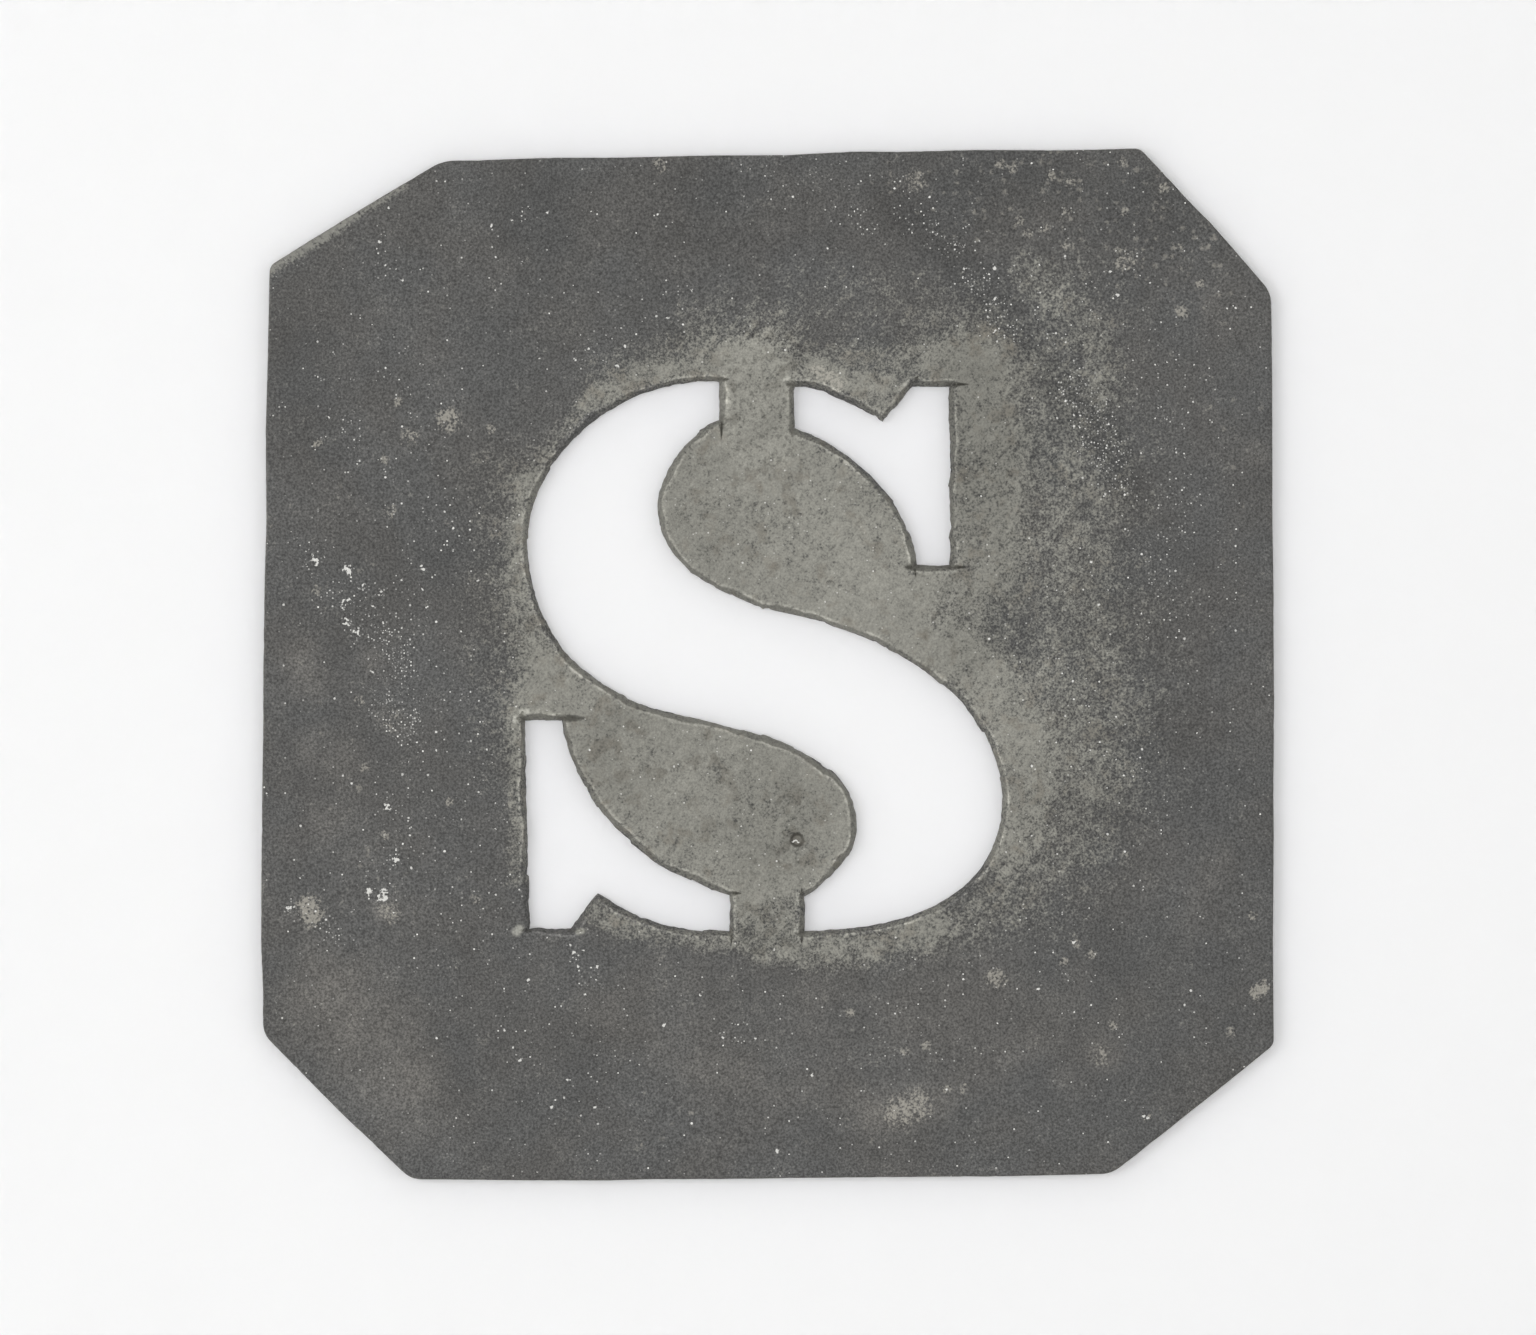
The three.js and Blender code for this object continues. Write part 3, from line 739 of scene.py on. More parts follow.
DARKENED = {
    "upper right arc": (
        [(11.2, 47.0), (19.2, 40.4), (24.2, 33.8), (29.2, 27.4), (34.2, 22.4), (36.6, 16.4)],
        0.6, 2.4, 0.62,
    ),
    "top left": ([(-22.8, 47.4)], 1.5, 6.0, 0.4),
    "left": ([(-46.8, 21.4), (-47.0, 30.0)], 1.0, 5.0, 0.3),
    "top right": ([(31.8, 48.4), (42.0, 44.0)], 1.5, 5.0, 0.4),
    "right": ([(42.0, -8.0), (46.0, -16.0)], 2.0, 6.0, 0.25),
    "below the shoulder": ([(-22.0, 30.0)], 1.0, 6.0, 0.25),
    "top": ([(-24.0, 46.0), (0.0, 45.0), (22.0, 48.0)], 2.0, 6.0, 0.32),
    "across the foot of the upper tie": ([(0.9, 24.6), (-2.4, 21.6)], 0.3, 1.0, 0.5),
    "foot of the upper serif": ([(14.2, 9.8), (18.3, 9.8)], 0.3, 0.4, 1.0),
    "lower counter": ([(-14.0, -9.0), (-4.0, -13.5), (0.0, -16.0)], 2.6, 4.4, 0.44),
    "lower tie": ([(0.0, -21.0), (0.3, -25.2)], 2.6, 2.2, 0.62),
    "right of the upper serif": ([(20.8, 28.0), (21.5, 18.0), (21.5, 4.0)], 2.2, 4.0, 0.5),
    "right side of the upper tie": ([(1.6, 27.4), (1.4, 24.0)], 0.5, 2.0, 0.3),
    "upper right spot": ([(27.9, 39.7)], 0.3, 0.5, 0.7),
    "right spot": ([(47.3, 31.9)], 0.4, 0.5, 0.6),
    "spot beside the upper serif": ([(26.1, 23.7)], 0.2, 0.5, 0.7),
    "bottom spot": ([(10.8, -49.1)], 0.3, 0.7, 0.8),
    "under the upper serif": ([(15.0, 7.0), (18.5, 4.0)], 1.5, 3.0, 0.3),
}
STAINED = {
    "left one": ([(-32.0, 24.4)], 0.5, 1.4, 0.8),
    "beside it": ([(-35.8, 22.7)], 0.4, 1.2, 0.4),
    "left edge": ([(-37.8, 15.2)], 0.3, 0.9, 0.4),
    "left margin": ([(-37.8, -5.6)], 0.6, 1.6, 0.25),
    "bottom one": ([(13.0, -44.8), (14.9, -44.0)], 0.3, 2.2, 0.72),
    "lower right": ([(33.2, -39.1)], 0.5, 1.6, 0.28),
    "above it": ([(22.8, -31.4)], 0.5, 0.9, 0.75),
    "upper right": ([(29.2, 36.4)], 0.6, 2.0, 0.2),
    "top right": ([(35.7, 40.4)], 0.4, 1.4, 0.45),
    "right corner": ([(41.4, 35.2)], 0.3, 0.5, 0.9),
    "top": ([(14.7, 48.4)], 0.5, 1.2, 0.4),
    "top left": ([(-10.8, 49.9)], 0.3, 0.9, 0.5),
    "right edge": ([(49.5, -32.3), (48.9, -32.9)], 0.35, 0.6, 0.95),
    "left edge, low": ([(-45.9, -24.2), (-45.7, -25.2)], 0.3, 1.4, 1.0),
    "left foot": ([(-38.2, -24.5), (-37.6, -25.2)], 0.3, 1.0, 0.45),
    "beside the upper tie": ([(4.8, 29.4), (7.0, 28.1)], 0.3, 0.9, 0.55),
}
SPOTS = {
    "upper right": [
        (25.1, 44.3), (26.0, 43.1), (27.7, 43.5), (29.6, 41.8), (29.8, 45.2), (35.7, 45.3), (43.2, 38.1),
    ],
    "top right": [
        (23.2, 50.0), (24.4, 49.6), (28.3, 48.9), (30.2, 48.1), (35.4, 50.2), (39.6, 47.6), (41.2, 41.6),
    ],
    "lower right": [
        (32.3, -29.0), (30.7, -27.9), (29.5, -29.7), (34.5, -36.1), (46.3, -36.8), (48.4, -25.2),
    ],
    "bottom": [(17.9, -42.5), (19.6, -42.4), (13.7, -38.7), (15.8, -38.2), (8.2, -34.9), (37.8, -45.3)],
    "left": [(-40.9, -3.7), (-40.4, -10.4), (-32.0, -13.8), (-38.3, -17.1), (-29.3, -23.6), (-45.2, 7.4)],
    "upper left": [(-45.1, 22.1), (-27.7, 23.5), (-38.4, 20.4), (-37.0, 26.2)],
}
SPOTTED = round_marks(SPOTS, 0.2, 0.6, 0.56)
DAPPLED = {
    "top right": ([(17.0, 49.0), (30.0, 47.0), (42.0, 40.0)], 3.0, 6.0, 0.9),
    "right edge": ([(47.0, 26.0), (48.0, 6.0)], 1.0, 4.0, 0.35),
    "left": ([(-44.0, 16.0), (-42.0, -14.0), (-38.0, -24.0)], 1.0, 6.0, 0.35),
    "bottom": ([(-20.0, -46.0), (14.0, -46.0)], 1.0, 4.0, 0.3),
}
FLECKED = {
    "left drift": (
        [(-45.5, 10.5), (-42.0, 6.0), (-38.0, 1.5), (-36.0, -4.0), (-35.0, -8.0)], 0.8, 2.6, 1.0,
    ),
    "left fall": ([(-38.0, -13.0), (-37.0, -18.0), (-39.0, -23.0)], 0.6, 2.2, 0.8),
    "left edge": ([(-46.5, -24.5), (-44.5, -26.0)], 0.6, 1.6, 1.0),
    "left spread": ([(-40.0, 28.0), (-34.0, 12.0), (-32.0, -10.0), (-32.0, -24.0)], 3.0, 7.0, 0.5),
    "below the lower serif": ([(-19.5, -27.5), (-18.0, -32.0)], 0.8, 1.8, 1.0),
    "top drift": ([(2.0, 49.5), (8.0, 46.0), (14.0, 46.0), (20.0, 41.0), (22.0, 35.0)], 1.5, 3.0, 0.7),
    "right drift": ([(23.0, 38.0), (29.0, 31.0), (33.0, 24.0), (35.0, 17.0)], 1.0, 3.0, 0.8),
    "right spread": ([(30.0, 42.0), (38.0, 34.0), (40.0, 18.0), (44.0, 8.0)], 2.0, 6.0, 0.45),
    "right of the lower bowl": ([(31.0, -3.0), (35.0, -9.0)], 0.8, 2.0, 0.5),
    "upper left": ([(-26.0, 43.0), (-38.0, 40.0)], 2.0, 5.0, 0.36),
    "shoulder": ([(-18.0, 31.5), (-10.0, 36.0)], 0.8, 2.0, 0.65),
    "bottom": ([(-6.0, -37.0), (-1.0, -37.5)], 0.6, 1.6, 0.7),
    "bottom left": ([(-24.0, -34.0), (-17.0, -43.0)], 3.0, 6.0, 0.4),
    "bottom right": ([(12.0, -36.0), (26.0, -30.0)], 2.0, 5.0, 0.35),
    "right lower spread": ([(32.0, 6.0), (36.0, -14.0)], 3.0, 8.0, 0.45),
    "upper counter": ([(-5.0, 15.0), (8.0, 11.0)], 5.0, 4.0, 0.3),
    "lower counter": ([(-12.0, -9.0), (2.0, -15.0)], 5.0, 4.0, 0.3),
}
FLAKES = {
    "left drift, chips": [(-45.1, 10.2), (-41.9, 9.2), (-42.2, 6.3), (-38.4, -22.9)],
    "left drift": [
        (-45.5, 10.6), (-42.2, 9.5), (-40.6, 7.7), (-42.6, 5.8), (-42.1, 4.2), (-41.1, 3.2), (-38.9, 7.1),
    ],
    "left foot": [(-38.6, -23.2), (-39.9, -22.8), (-37.3, -19.6), (-38.1, -14.3), (-47.8, -24.3)],
}
CHIPS = {
    "left": [
        (-39.5, 5.8), (-34.5, 9.4), (-34.7, 9.8), (-33.2, -8.7), (-39.6, -0.8), (-36.0, 7.5), (-34.6, 7.5),
    ],
    "below the lower serif": [
        (-19.4, -28.9), (-18.4, -28.6), (-19.0, -30.3), (-17.1, -30.3), (-17.3, -31.6), (-18.2, -33.0),
        (-24.0, -31.6),
    ],
    "upper right": [
        (18.8, 42.0), (19.5, 41.9), (19.7, 39.5), (22.6, 39.6), (20.3, 37.7), (21.4, 37.3), (22.7, 36.5),
        (22.6, 33.3), (23.6, 32.9), (29.4, 40.3), (34.3, 39.2), (34.9, 36.9),
    ],
    "upper left": [
        (-22.1, 45.1), (-23.7, 43.4), (-24.7, 44.3), (-28.3, 41.2), (-36.6, 38.3), (-34.7, 23.7),
        (-44.0, 24.7), (-15.1, 29.8), (-17.9, 31.5), (-7.6, 37.4), (-10.1, 34.6), (-25.6, 44.4),
        (-27.7, 43.8), (-37.9, 45.6), (-38.9, 42.2), (-19.3, 30.4), (-22.8, 30.6), (-14.3, 31.8),
        (-26.3, 26.2), (-25.9, 22.4), (-28.5, 32.2),
    ],
    "bottom": [
        (-10.4, -36.1), (-10.0, -36.3), (-4.7, -37.0), (-4.5, -37.4), (-1.2, -37.5), (4.4, -41.1),
        (0.9, -48.7), (-20.1, -41.6), (-21.6, -44.3), (-17.3, -44.3), (-24.8, -39.6), (-6.8, -33.1),
    ],
    "lower right": [
        (43.9, -37.9), (37.6, -45.2), (37.9, -45.4), (27.0, -32.5), (30.6, -27.8), (42.3, -32.7),
    ],
}
FLAKED = {
    **round_marks(FLAKES, 0.12, 0.45, 0.9),
    **round_marks(CHIPS, 0.06, 0.2, 1.0),
    "left foot, broad": ([(-38.5, -23.4)], 0.3, 0.5, 0.9),
    "chip in the dimple": ([(2.5, -17.8), (2.8, -17.65), (3.2, -17.9)], 0.03, 0.13, 1.0),
}
POWDERED = {
    "left, upper": ([(-37.6, 2.4), (-37.0, -0.6)], 0.7, 1.2, 1.0),
    "left, lower": ([(-38.2, -4.2), (-36.4, -6.0)], 0.9, 1.6, 1.0),
    "left, thin": ([(-39.5, 4.0), (-37.5, 3.2)], 0.8, 1.6, 0.5),
    "left, foot": ([(-44.0, -26.4), (-42.0, -27.8)], 0.4, 1.2, 0.7),
    "right": ([(30.5, 27.5), (33.0, 23.5), (35.0, 18.5)], 0.8, 2.2, 0.85),
    "right, thin": ([(39.0, 9.0), (41.0, 17.0)], 0.5, 2.0, 0.3),
    "top": ([(9.0, 45.0), (10.0, 43.8)], 0.4, 1.4, 0.7),
    "top, right": ([(13.8, 44.8), (18.7, 42.0)], 0.3, 1.6, 0.4),
    "upper right": ([(20.5, 38.5), (22.5, 36.5), (24.0, 33.4)], 0.6, 1.4, 0.7),
    **round_marks(FLAKES, 0.3, 1.0, 0.32),
}
BURRED = {
    "upper serif, tie side": ([(1.6, 28.4), (2.1, 28.7)], 0.08, 0.3, 0.8),
    "upper serif, beak": ([(13.5, 27.8), (14.0, 28.2)], 0.05, 0.3, 0.8),
    "upper serif, foot": ([(14.3, 11.3), (14.6, 10.6)], 0.05, 0.25, 0.9),
    "lower serif, head": ([(-24.6, -4.8), (-24.1, -4.75)], 0.2, 0.25, 1.0),
    "lower serif, head side": ([(-25.3, -5.4), (-25.3, -5.7)], 0.16, 0.25, 1.0),
    "lower serif, heel": ([(-25.2, -26.8), (-24.9, -26.5)], 0.25, 0.35, 0.8),
    "lower serif, beak": ([(-19.0, -26.8), (-18.6, -26.7)], 0.12, 0.3, 1.0),
    "lower bowl, tie side": ([(2.8, -26.7)], 0.1, 0.35, 0.7),
}
SCUFFED = {
    "upper left clip": ([(-49.7, 39.8), (-43.0, 43.9)], 0.3, 1.0, 1.0),
    "its right end": ([(-43.0, 43.9), (-36.5, 47.8)], 0.15, 0.7, 0.85),
}
WEAR = {
    "rubbed": RUBBED,
    "darkened": DARKENED,
    "brushed": BRUSHED,
    "pitted": PITTED,
    "hazed": HAZED,
    "stained": STAINED | SPOTTED,
    "dappled": DAPPLED,
    "flecked": FLECKED,
    "powdered": POWDERED,
    "flaked": FLAKED,
    "scuffed": SCUFFED,
}


def reached(spots, places, reach, fade):
    """How much of one stroke reaches each spot: 1 within its reach of the line, easing to 0 over its
    fade."""
    places = np.array(places, float)
    if len(places) == 1:
        places = np.concatenate([places, places])
    away = np.full(len(spots), np.inf)
    for start, end in zip(places[:-1], places[1:]):
        span = end - start
        share = np.clip((spots - start) @ span / max(span @ span, TINY), 0, 1)
        away = np.minimum(away, np.linalg.norm(spots - start - share[:, None] * span, axis=1))
    ease = np.clip((reach + fade - away) / fade, 0, 1)
    return ease * ease * (3 - 2 * ease)


def worn(spots, strokes):
    """Strokes laid over each other: what is left bare is the product of what each leaves."""
    bare = np.ones(len(spots))
    for places, reach, fade, strength in strokes.values():
        bare *= 1 - strength * reached(spots, places, reach, fade)
    return 1 - bare


# Marks of the tools

def nick_start(runs, corner, way):
    """Where a nick starts: beside the corner, in the slope of the cut that it carries on. That is the
    cut which comes to the corner along the nick's way, with its slope on the right, or else the one
    which leaves it the other way."""
    coming = min(runs, key=lambda run: np.linalg.norm(run[-1] - corner))
    going = min(runs, key=lambda run: np.linalg.norm(run[0] - corner))
    onward = (coming[-1] - coming[-2]) / np.linalg.norm(coming[-1] - coming[-2])
    backward = (going[0] - going[1]) / np.linalg.norm(going[0] - going[1])
    ahead = heading(way)
    turn = -UP if onward @ ahead > backward @ ahead else UP
    return corner + heading(way + turn) * NICK_SHIFT


def nick_grid(start, way, length, half_width):
    """Loose points over a nick: even steps along it and across it."""
    steps = np.linspace(NICK_START, length + BEVEL_WIDTH + NICK_RUNOUT, NICK_STEPS)
    rows = np.linspace(-NICK_SPREAD, NICK_SPREAD, NICK_ROWS) * half_width
    along, across = np.meshgrid(steps, rows)
    return start + along.reshape(-1, 1) * heading(way) + across.reshape(-1, 1) * heading(way + UP)


def nick_depth(spots, start, way, length, half_width):
    """Depth of a nick at each spot: a groove with straight sides, deepest where it starts. Its depth
    falls with the square of the way along, to nothing past the slope by the nick's length."""
    along = (spots - start) @ heading(way) / (length + BEVEL_WIDTH)
    across = np.abs((spots - start) @ heading(way + UP)) / half_width
    depth = NICK_DEPTH * (1 - np.clip(along, 0, None) ** 2 - across)
    return np.where(along > -NICK_LEAD, np.clip(depth, 0, NICK_DEPTH), 0.0)


def ring_grid(centre, reach, rings, spokes):
    """Loose points round a centre: rings of even steps out to a reach."""
    steps = np.linspace(FIRST_RING, reach, rings)
    turns = np.linspace(0, 2 * math.pi, spokes, endpoint=False)
    radius, turn = np.meshgrid(steps, turns)
    return centre + np.column_stack([(radius * np.cos(turn)).ravel(), (radius * np.sin(turn)).ravel()])


def dimple_height(spots):
    """Height of the dimple at each spot: a flat floor, a slanting wall and a low rim round it, shaped
    as a bell curve."""
    radius = np.linalg.norm(spots - DIMPLE_CENTRE, axis=1)
    pit = -DIMPLE_DEPTH * np.clip((DIMPLE_RADIUS - radius) / DIMPLE_WALL, 0, 1)
    rim = DIMPLE_RIM_HEIGHT * np.exp(-(((radius - DIMPLE_RIM_RADIUS) / DIMPLE_RIM_WIDTH) ** 2))
    return pit + rim


def dimple_grime_and_shade(spots):
    """Grime and painted shade in the dimple: a ring that is thickest at the foot of its wall, where shade
    falls, over a thin layer on its floor."""
    radius = np.linalg.norm(spots - DIMPLE_CENTRE, axis=1)
    ring = np.clip(1 - np.abs(radius - DIMPLE_RADIUS + DIMPLE_WALL) / GRIME_AND_SHADE_WIDTH, 0, 1)
    return np.where(radius < DIMPLE_RADIUS, np.maximum(THICK_GRIME_AND_SHADE * ring, THIN_GRIME_AND_SHADE), 0.0)


def ripple(spots):
    """Slow unevenness of the beaten sheet: the sum of crossing sine waves, a few hundredths of a
    millimetre high."""
    x, y = spots[:, 0] / MM, spots[:, 1] / MM
    return RIPPLE_HEIGHT * sum(np.sin(by_x * x + by_y * y + start) for by_x, by_y, start in RIPPLES)


def marked(points, nicks):
    """The points with the marks of the upper face: dimple, ripple and burrs add to its height, and each
    nick cuts it down to the nick's depth. Gives the grime in dimple and nicks too, which also paints the
    shade of these hollows, and where the burrs are."""
    plan, height = points[:, :2], points[:, 2]
    upper = height > THICKNESS - UPPER_SKIN
    burr = worn(plan / MM, BURRED) * upper
    height = np.where(upper, height + dimple_height(plan) + ripple(plan) + burr * BURR_HEIGHT, height)
    # Grime in the dimple, which also stands for the painted shade at the foot of its wall.
    grime_and_shade = upper * dimple_grime_and_shade(plan)
    for nick in nicks:
        groove = nick_depth(plan, *nick)
        height = np.where(groove > 0, np.minimum(height, THICKNESS - groove), height)
        # Grime in each nick, more for a deeper groove: also the painted shade of the hollow.
        grime_and_shade = np.maximum(grime_and_shade, np.clip(groove / GRIME_AND_SHADE_DEPTH, 0, 1) * (height > GRIME_AND_SHADE_FROM))
    return np.column_stack([plan, height]), grime_and_shade, burr


# Building the sheet

def carried(sheet, rows, metal):
    """Bands between the rows of a profile, from the underside up. Gives the lowest row and the
    highest."""
    for lower, upper in zip(rows[:-1], rows[1:]):
        sheet.band(lower, upper, metal)
    return rows[0], rows[-1]


def snipped_edge(sheet):
    """The outer edge: worn corner, wall and worn corner as a profile, carried along the outline. A
    random roughness moves the wall in and out. Gives the lowest row and the highest."""
    outline = hand_cut(trace([sheet_outline()], 1), SNIP_LENGTH, SNIP_WANDER)
    rough = wander(outline.gone, ROUGH_LENGTH, ROUGH_SIZE)
    # Inset, height, how rubbed it is, and its share of the roughness
    profile = [
        (0.14 * MM, 0.0, 0.0, 0),
        (0.03 * MM, 0.05 * MM, 0.2, 1),
        (0.0, 0.2 * MM, 0.3, 1),
        (0.0, 0.72 * THICKNESS, 0.3, 1),
        (0.03 * MM, THICKNESS - 0.11 * MM, 0.6, 1),
        (0.09 * MM, THICKNESS - 0.035 * MM, 1.0, 0),
        (0.2 * MM, THICKNESS - 0.004 * MM, 0.5, 0),
        (0.42 * MM, THICKNESS, 0.0, 0),
    ]
    rows = [
        sheet.add(inset(outline, np.maximum(depth + rough * share, 0.0), height), rim=rubbed)
        for depth, height, rubbed, share in profile
    ]
    return carried(sheet, rows, 1)


def chiselled_edge(sheet, runs):
    """The edge of an opening: wall, slope and lip as a profile, carried along its cuts. Random sways
    vary the slope and the lip, tears roughen the wall, and chips roughen the top of the slope. Gives
    the lowest row, the highest row and rows of loose points beside it."""
    cut = hand_cut(trace(runs, -1), BLOW_LENGTH, BLOW_WANDER, BLOW_SLIP)
    width = BEVEL_WIDTH * (1 + np.clip(wander(cut.gone, WIDTH_SPACING, WIDTH_SWAY), *WIDTH_LIMITS))
    depth = BEVEL_DEPTH * (1 + np.clip(wander(cut.gone, DEPTH_SPACING, DEPTH_SWAY), *DEPTH_LIMITS))
    lip = np.clip(1 + wander(cut.gone, LIP_SPACING, LIP_SWAY), *LIP_LIMITS)
    tear = wander(cut.gone, TEAR_LENGTH, TEAR_SIZE)
    chip = np.clip(wander(cut.gone, TEAR_LENGTH, TEAR_SIZE), -CHIP_LIMIT, CHIP_LIMIT)
    # Inset, height, how far inside the cut it counts, and how bright its lip is painted: partly rubbed
    # metal, partly a painted highlight
    profile = [
        (tear + 0.05 * MM, 0.0, 0.7, 0.0),
        (tear, 0.05 * MM, 1.0, 0.0),
        (tear, THICKNESS - depth, 1.0, 0.0),
        (0.36 * width + tear * 0.5, THICKNESS - 0.6 * depth, 1.0, 0.0),
        (0.7 * width, THICKNESS - 0.26 * depth, 1.0, 0.0),
        (width + chip, THICKNESS - 0.02 * MM, 0.75, 0.2),
        (width + chip + 0.09 * MM, THICKNESS + LIP_HEIGHT * lip, 0.1, lip),
        (width + 0.26 * MM, THICKNESS + LIP_HEIGHT * lip * 0.5, 0.0, 0.5 * lip),
    ]
    rows = [
        sheet.add(inset(cut, deep, high), cut=inside, lip=bright)
        for deep, high, inside, bright in profile
    ]
    beside = [inset(cut, width + beyond, 0.0)[::2, :2] for beyond in BESIDE_CUT]
    return *carried(sheet, rows, -1), beside


def kept_apart(groups, outline, holes):
    """Loose points, group by group, without those off the metal or too close to a ring or to an earlier
    group."""
    ringed = np.concatenate([outline, *holes])
    chosen = np.zeros((0, 2))
    for group in groups:
        group = group[within(group, outline, holes)]
        group = group[clearance(group, ringed) > LEAST_GAP]
        if len(chosen):
            group = group[clearance(group, chosen) > LEAST_GAP]
        chosen = np.concatenate([chosen, group])
    return chosen


def evenly_spread(step, gap, outline, holes):
    """Points of a lattice on the metal that keep a gap from its rings."""
    spots = lattice(step, outline)
    spots = spots[within(spots, outline, holes)]
    return spots[clearance(spots, np.concatenate([outline, *holes])) > gap]


def shaped(name, points, triangles, wear):
    """A piece made of points and triangles, with a value of each kind of wear at each point."""
    mesh = bpy.data.meshes.new(name)
    mesh.from_pydata(points.tolist(), [], triangles.tolist())
    mesh.update()
    mesh.polygons.foreach_set("use_smooth", np.ones(len(mesh.polygons), bool))
    mesh.set_sharp_from_angle(angle=math.radians(SHARP_ANGLE))
    for kind, values in wear.items():
        layer = mesh.attributes.new(kind, "FLOAT", "POINT")
        layer.data.foreach_set("value", values.astype(np.float32))
    piece = bpy.data.objects.new(name, mesh)
    bpy.context.scene.collection.objects.link(piece)
    return piece


def zinc_sheet():
    """The sheet as one closed surface. Profiles are carried along the snipped outline and along each
    cut, fills of loose points make the faces between them, and the tools' marks move the upper face."""
    sheet = Gathered()
    edges = [snipped_edge(sheet)]
    loose = [ring_grid(DIMPLE_CENTRE, *DIMPLE_RINGS)]
    for places, *_ in (*FLAKED.values(), *BURRED.values(), *SPOTTED.values()):
        loose.append(ring_grid(np.mean(places, axis=0) * MM, *SPOT_RINGS))
    nicks = []
    for runs, overruns in (stroke_opening(), upper_serif_opening(), lower_serif_opening()):
        lowest, highest, beside = chiselled_edge(sheet, runs)
        edges.append((lowest, highest))
        overruns = [(nick_start(runs, corner, way), way, *size) for corner, way, *size in overruns]
        nicks.extend(overruns)
        loose.extend(nick_grid(*nick) for nick in overruns)
        loose.extend(beside)
    lower_rows, upper_rows = zip(*edges)

    outline, *holes = sheet.rings(upper_rows)
    chosen = kept_apart(loose, outline, holes)
    spots = evenly_spread(FACE_STEP, RING_GAP, outline, holes)
    spots = spots[clearance(spots, chosen) > LOOSE_GAP]
    sheet.face(upper_rows, np.concatenate([chosen, spots]), THICKNESS, 1)
    outline, *holes = sheet.rings(lower_rows)
    spots = evenly_spread(UNDERSIDE_STEP, UNDERSIDE_GAP, outline, holes)
    sheet.face(lower_rows, spots, UNDERSIDE_HOLLOW, -1)

    points, grime_and_shade, burr = marked(sheet.points(), nicks)
    cut, lip, rim = np.concatenate(sheet.wear).T
    lip = lip * np.clip(1 - grime_and_shade, 0, 1)
    # The grime in the nicks and the dimple is also painted shade, darker where they are deeper.
    wear = {"cut": cut, "lip": lip, "rim": rim, "dirt_and_shade": grime_and_shade, "burred": burr}
    reaches = points[:, 2] > WEAR_FROM
    wear |= {kind: worn(points[:, :2] / MM, strokes) * reaches for kind, strokes in WEAR.items()}
    return shaped("zinc_sheet", points, np.concatenate(sheet.triangles), wear)


# Shader maths

class Wire:
    """A socket in a material's node tree. Sums, differences and products of wires and numbers add Math
    nodes."""

    def __init__(self, tree, socket=None):
        self.tree = tree
        self.socket = socket

    def node(self, kind, settings, sockets, output=0):
        """Adds a node of a kind: its settings first, then a value or a link for each socket. Gives one
        output."""
        made = self.tree.nodes.new(kind)
        for name, value in settings.items():
            setattr(made, name, value)
        for name, value in sockets.items():
            if isinstance(value, Wire):
                self.tree.links.new(value.socket, made.inputs[name])
            else:
                made.inputs[name].default_value = value
        return Wire(self.tree, made.outputs[output])

    def math(self, operation, *values):
        """The result of a Math node."""
        return self.node("ShaderNodeMath", {"operation": operation}, dict(enumerate(values)))

    def __add__(self, other):
        return self.math("ADD", self, other)

    def __radd__(self, other):
        return self.math("ADD", other, self)

    def __sub__(self, other):
        return self.math("SUBTRACT", self, other)

    def __rsub__(self, other):
        return self.math("SUBTRACT", other, self)

    def __mul__(self, other):
        return self.math("MULTIPLY", self, other)

    def __rmul__(self, other):
        return self.math("MULTIPLY", other, self)

    def swing(self, amount):
        """This noise, which lies about 0.5, as a swing of the given amount about nothing."""
        return (self - 0.5) * amount

    def eased(self, low, high):
        """0 below low, 1 above high and a smooth step between."""
        return self.node(
            "ShaderNodeMapRange",
            {"interpolation_type": "SMOOTHSTEP"},
            {"Value": self, "From Min": low, "From Max": high},
        )

    def tinted(self, colour, share):
        """This colour mixed towards another by a share."""
        return self.node("ShaderNodeMix", {"data_type": "RGBA"}, {0: share, 6: self, 7: colour}, 2)

    def shaded(self, factor):
        """This colour made lighter or darker by a factor."""
        return self.node("ShaderNodeVectorMath", {"operation": "SCALE"}, {0: self, "Scale": factor})

    def noise(self, size, detail, roughness=0.5, shift=0.0):
        """Noise over these coordinates, with lumps of about the given size in metres. Another shift
        gives another pattern."""
        return self.node(
            "ShaderNodeTexNoise",
            {"noise_dimensions": "4D"},
            {"Vector": self, "W": shift, "Scale": 1 / size, "Detail": detail, "Roughness": roughness},
        )

    def brushed(self, way, length, width):
        """These coordinates along and across a heading, as multiples of a length and of a width in
        metres."""
        turn = (0.0, 0.0, math.radians(way))
        sockets = {"Vector": self, "Rotation": turn, "Scale": (length, width, width)}
        return self.node("ShaderNodeMapping", {"vector_type": "TEXTURE"}, sockets)

    def scattered(self, spacing):
        """Points scattered over these coordinates, seen from above, about the spacing apart. Gives the
        distance to the nearest one as a share of the spacing, and three random values of that point."""
        settings = {"voronoi_dimensions": "2D"}
        sockets = {"Vector": self, "Scale": 1 / spacing}
        distance = self.node("ShaderNodeTexVoronoi", settings, sockets, "Distance")
        colour = self.node("ShaderNodeTexVoronoi", settings, sockets, "Color")
        values = [
            self.node("ShaderNodeSeparateColor", {}, {"Color": colour}, channel)
            for channel in ("Red", "Green", "Blue")
        ]
        return distance, *values

    def wear(self, name):
        """One of the piece's kinds of wear."""
        return self.node("ShaderNodeAttribute", {"attribute_name": name}, {}, "Fac")


def paint(red, green, blue):
    """A screen colour, 0 to 255, as the linear colour that a shader takes."""
    share = np.array([red, green, blue]) / 255
    linear = np.where(share <= 0.04045, share / 12.92, ((share + 0.055) / 1.055) ** 2.4)
    return (*linear.tolist(), 1.0)


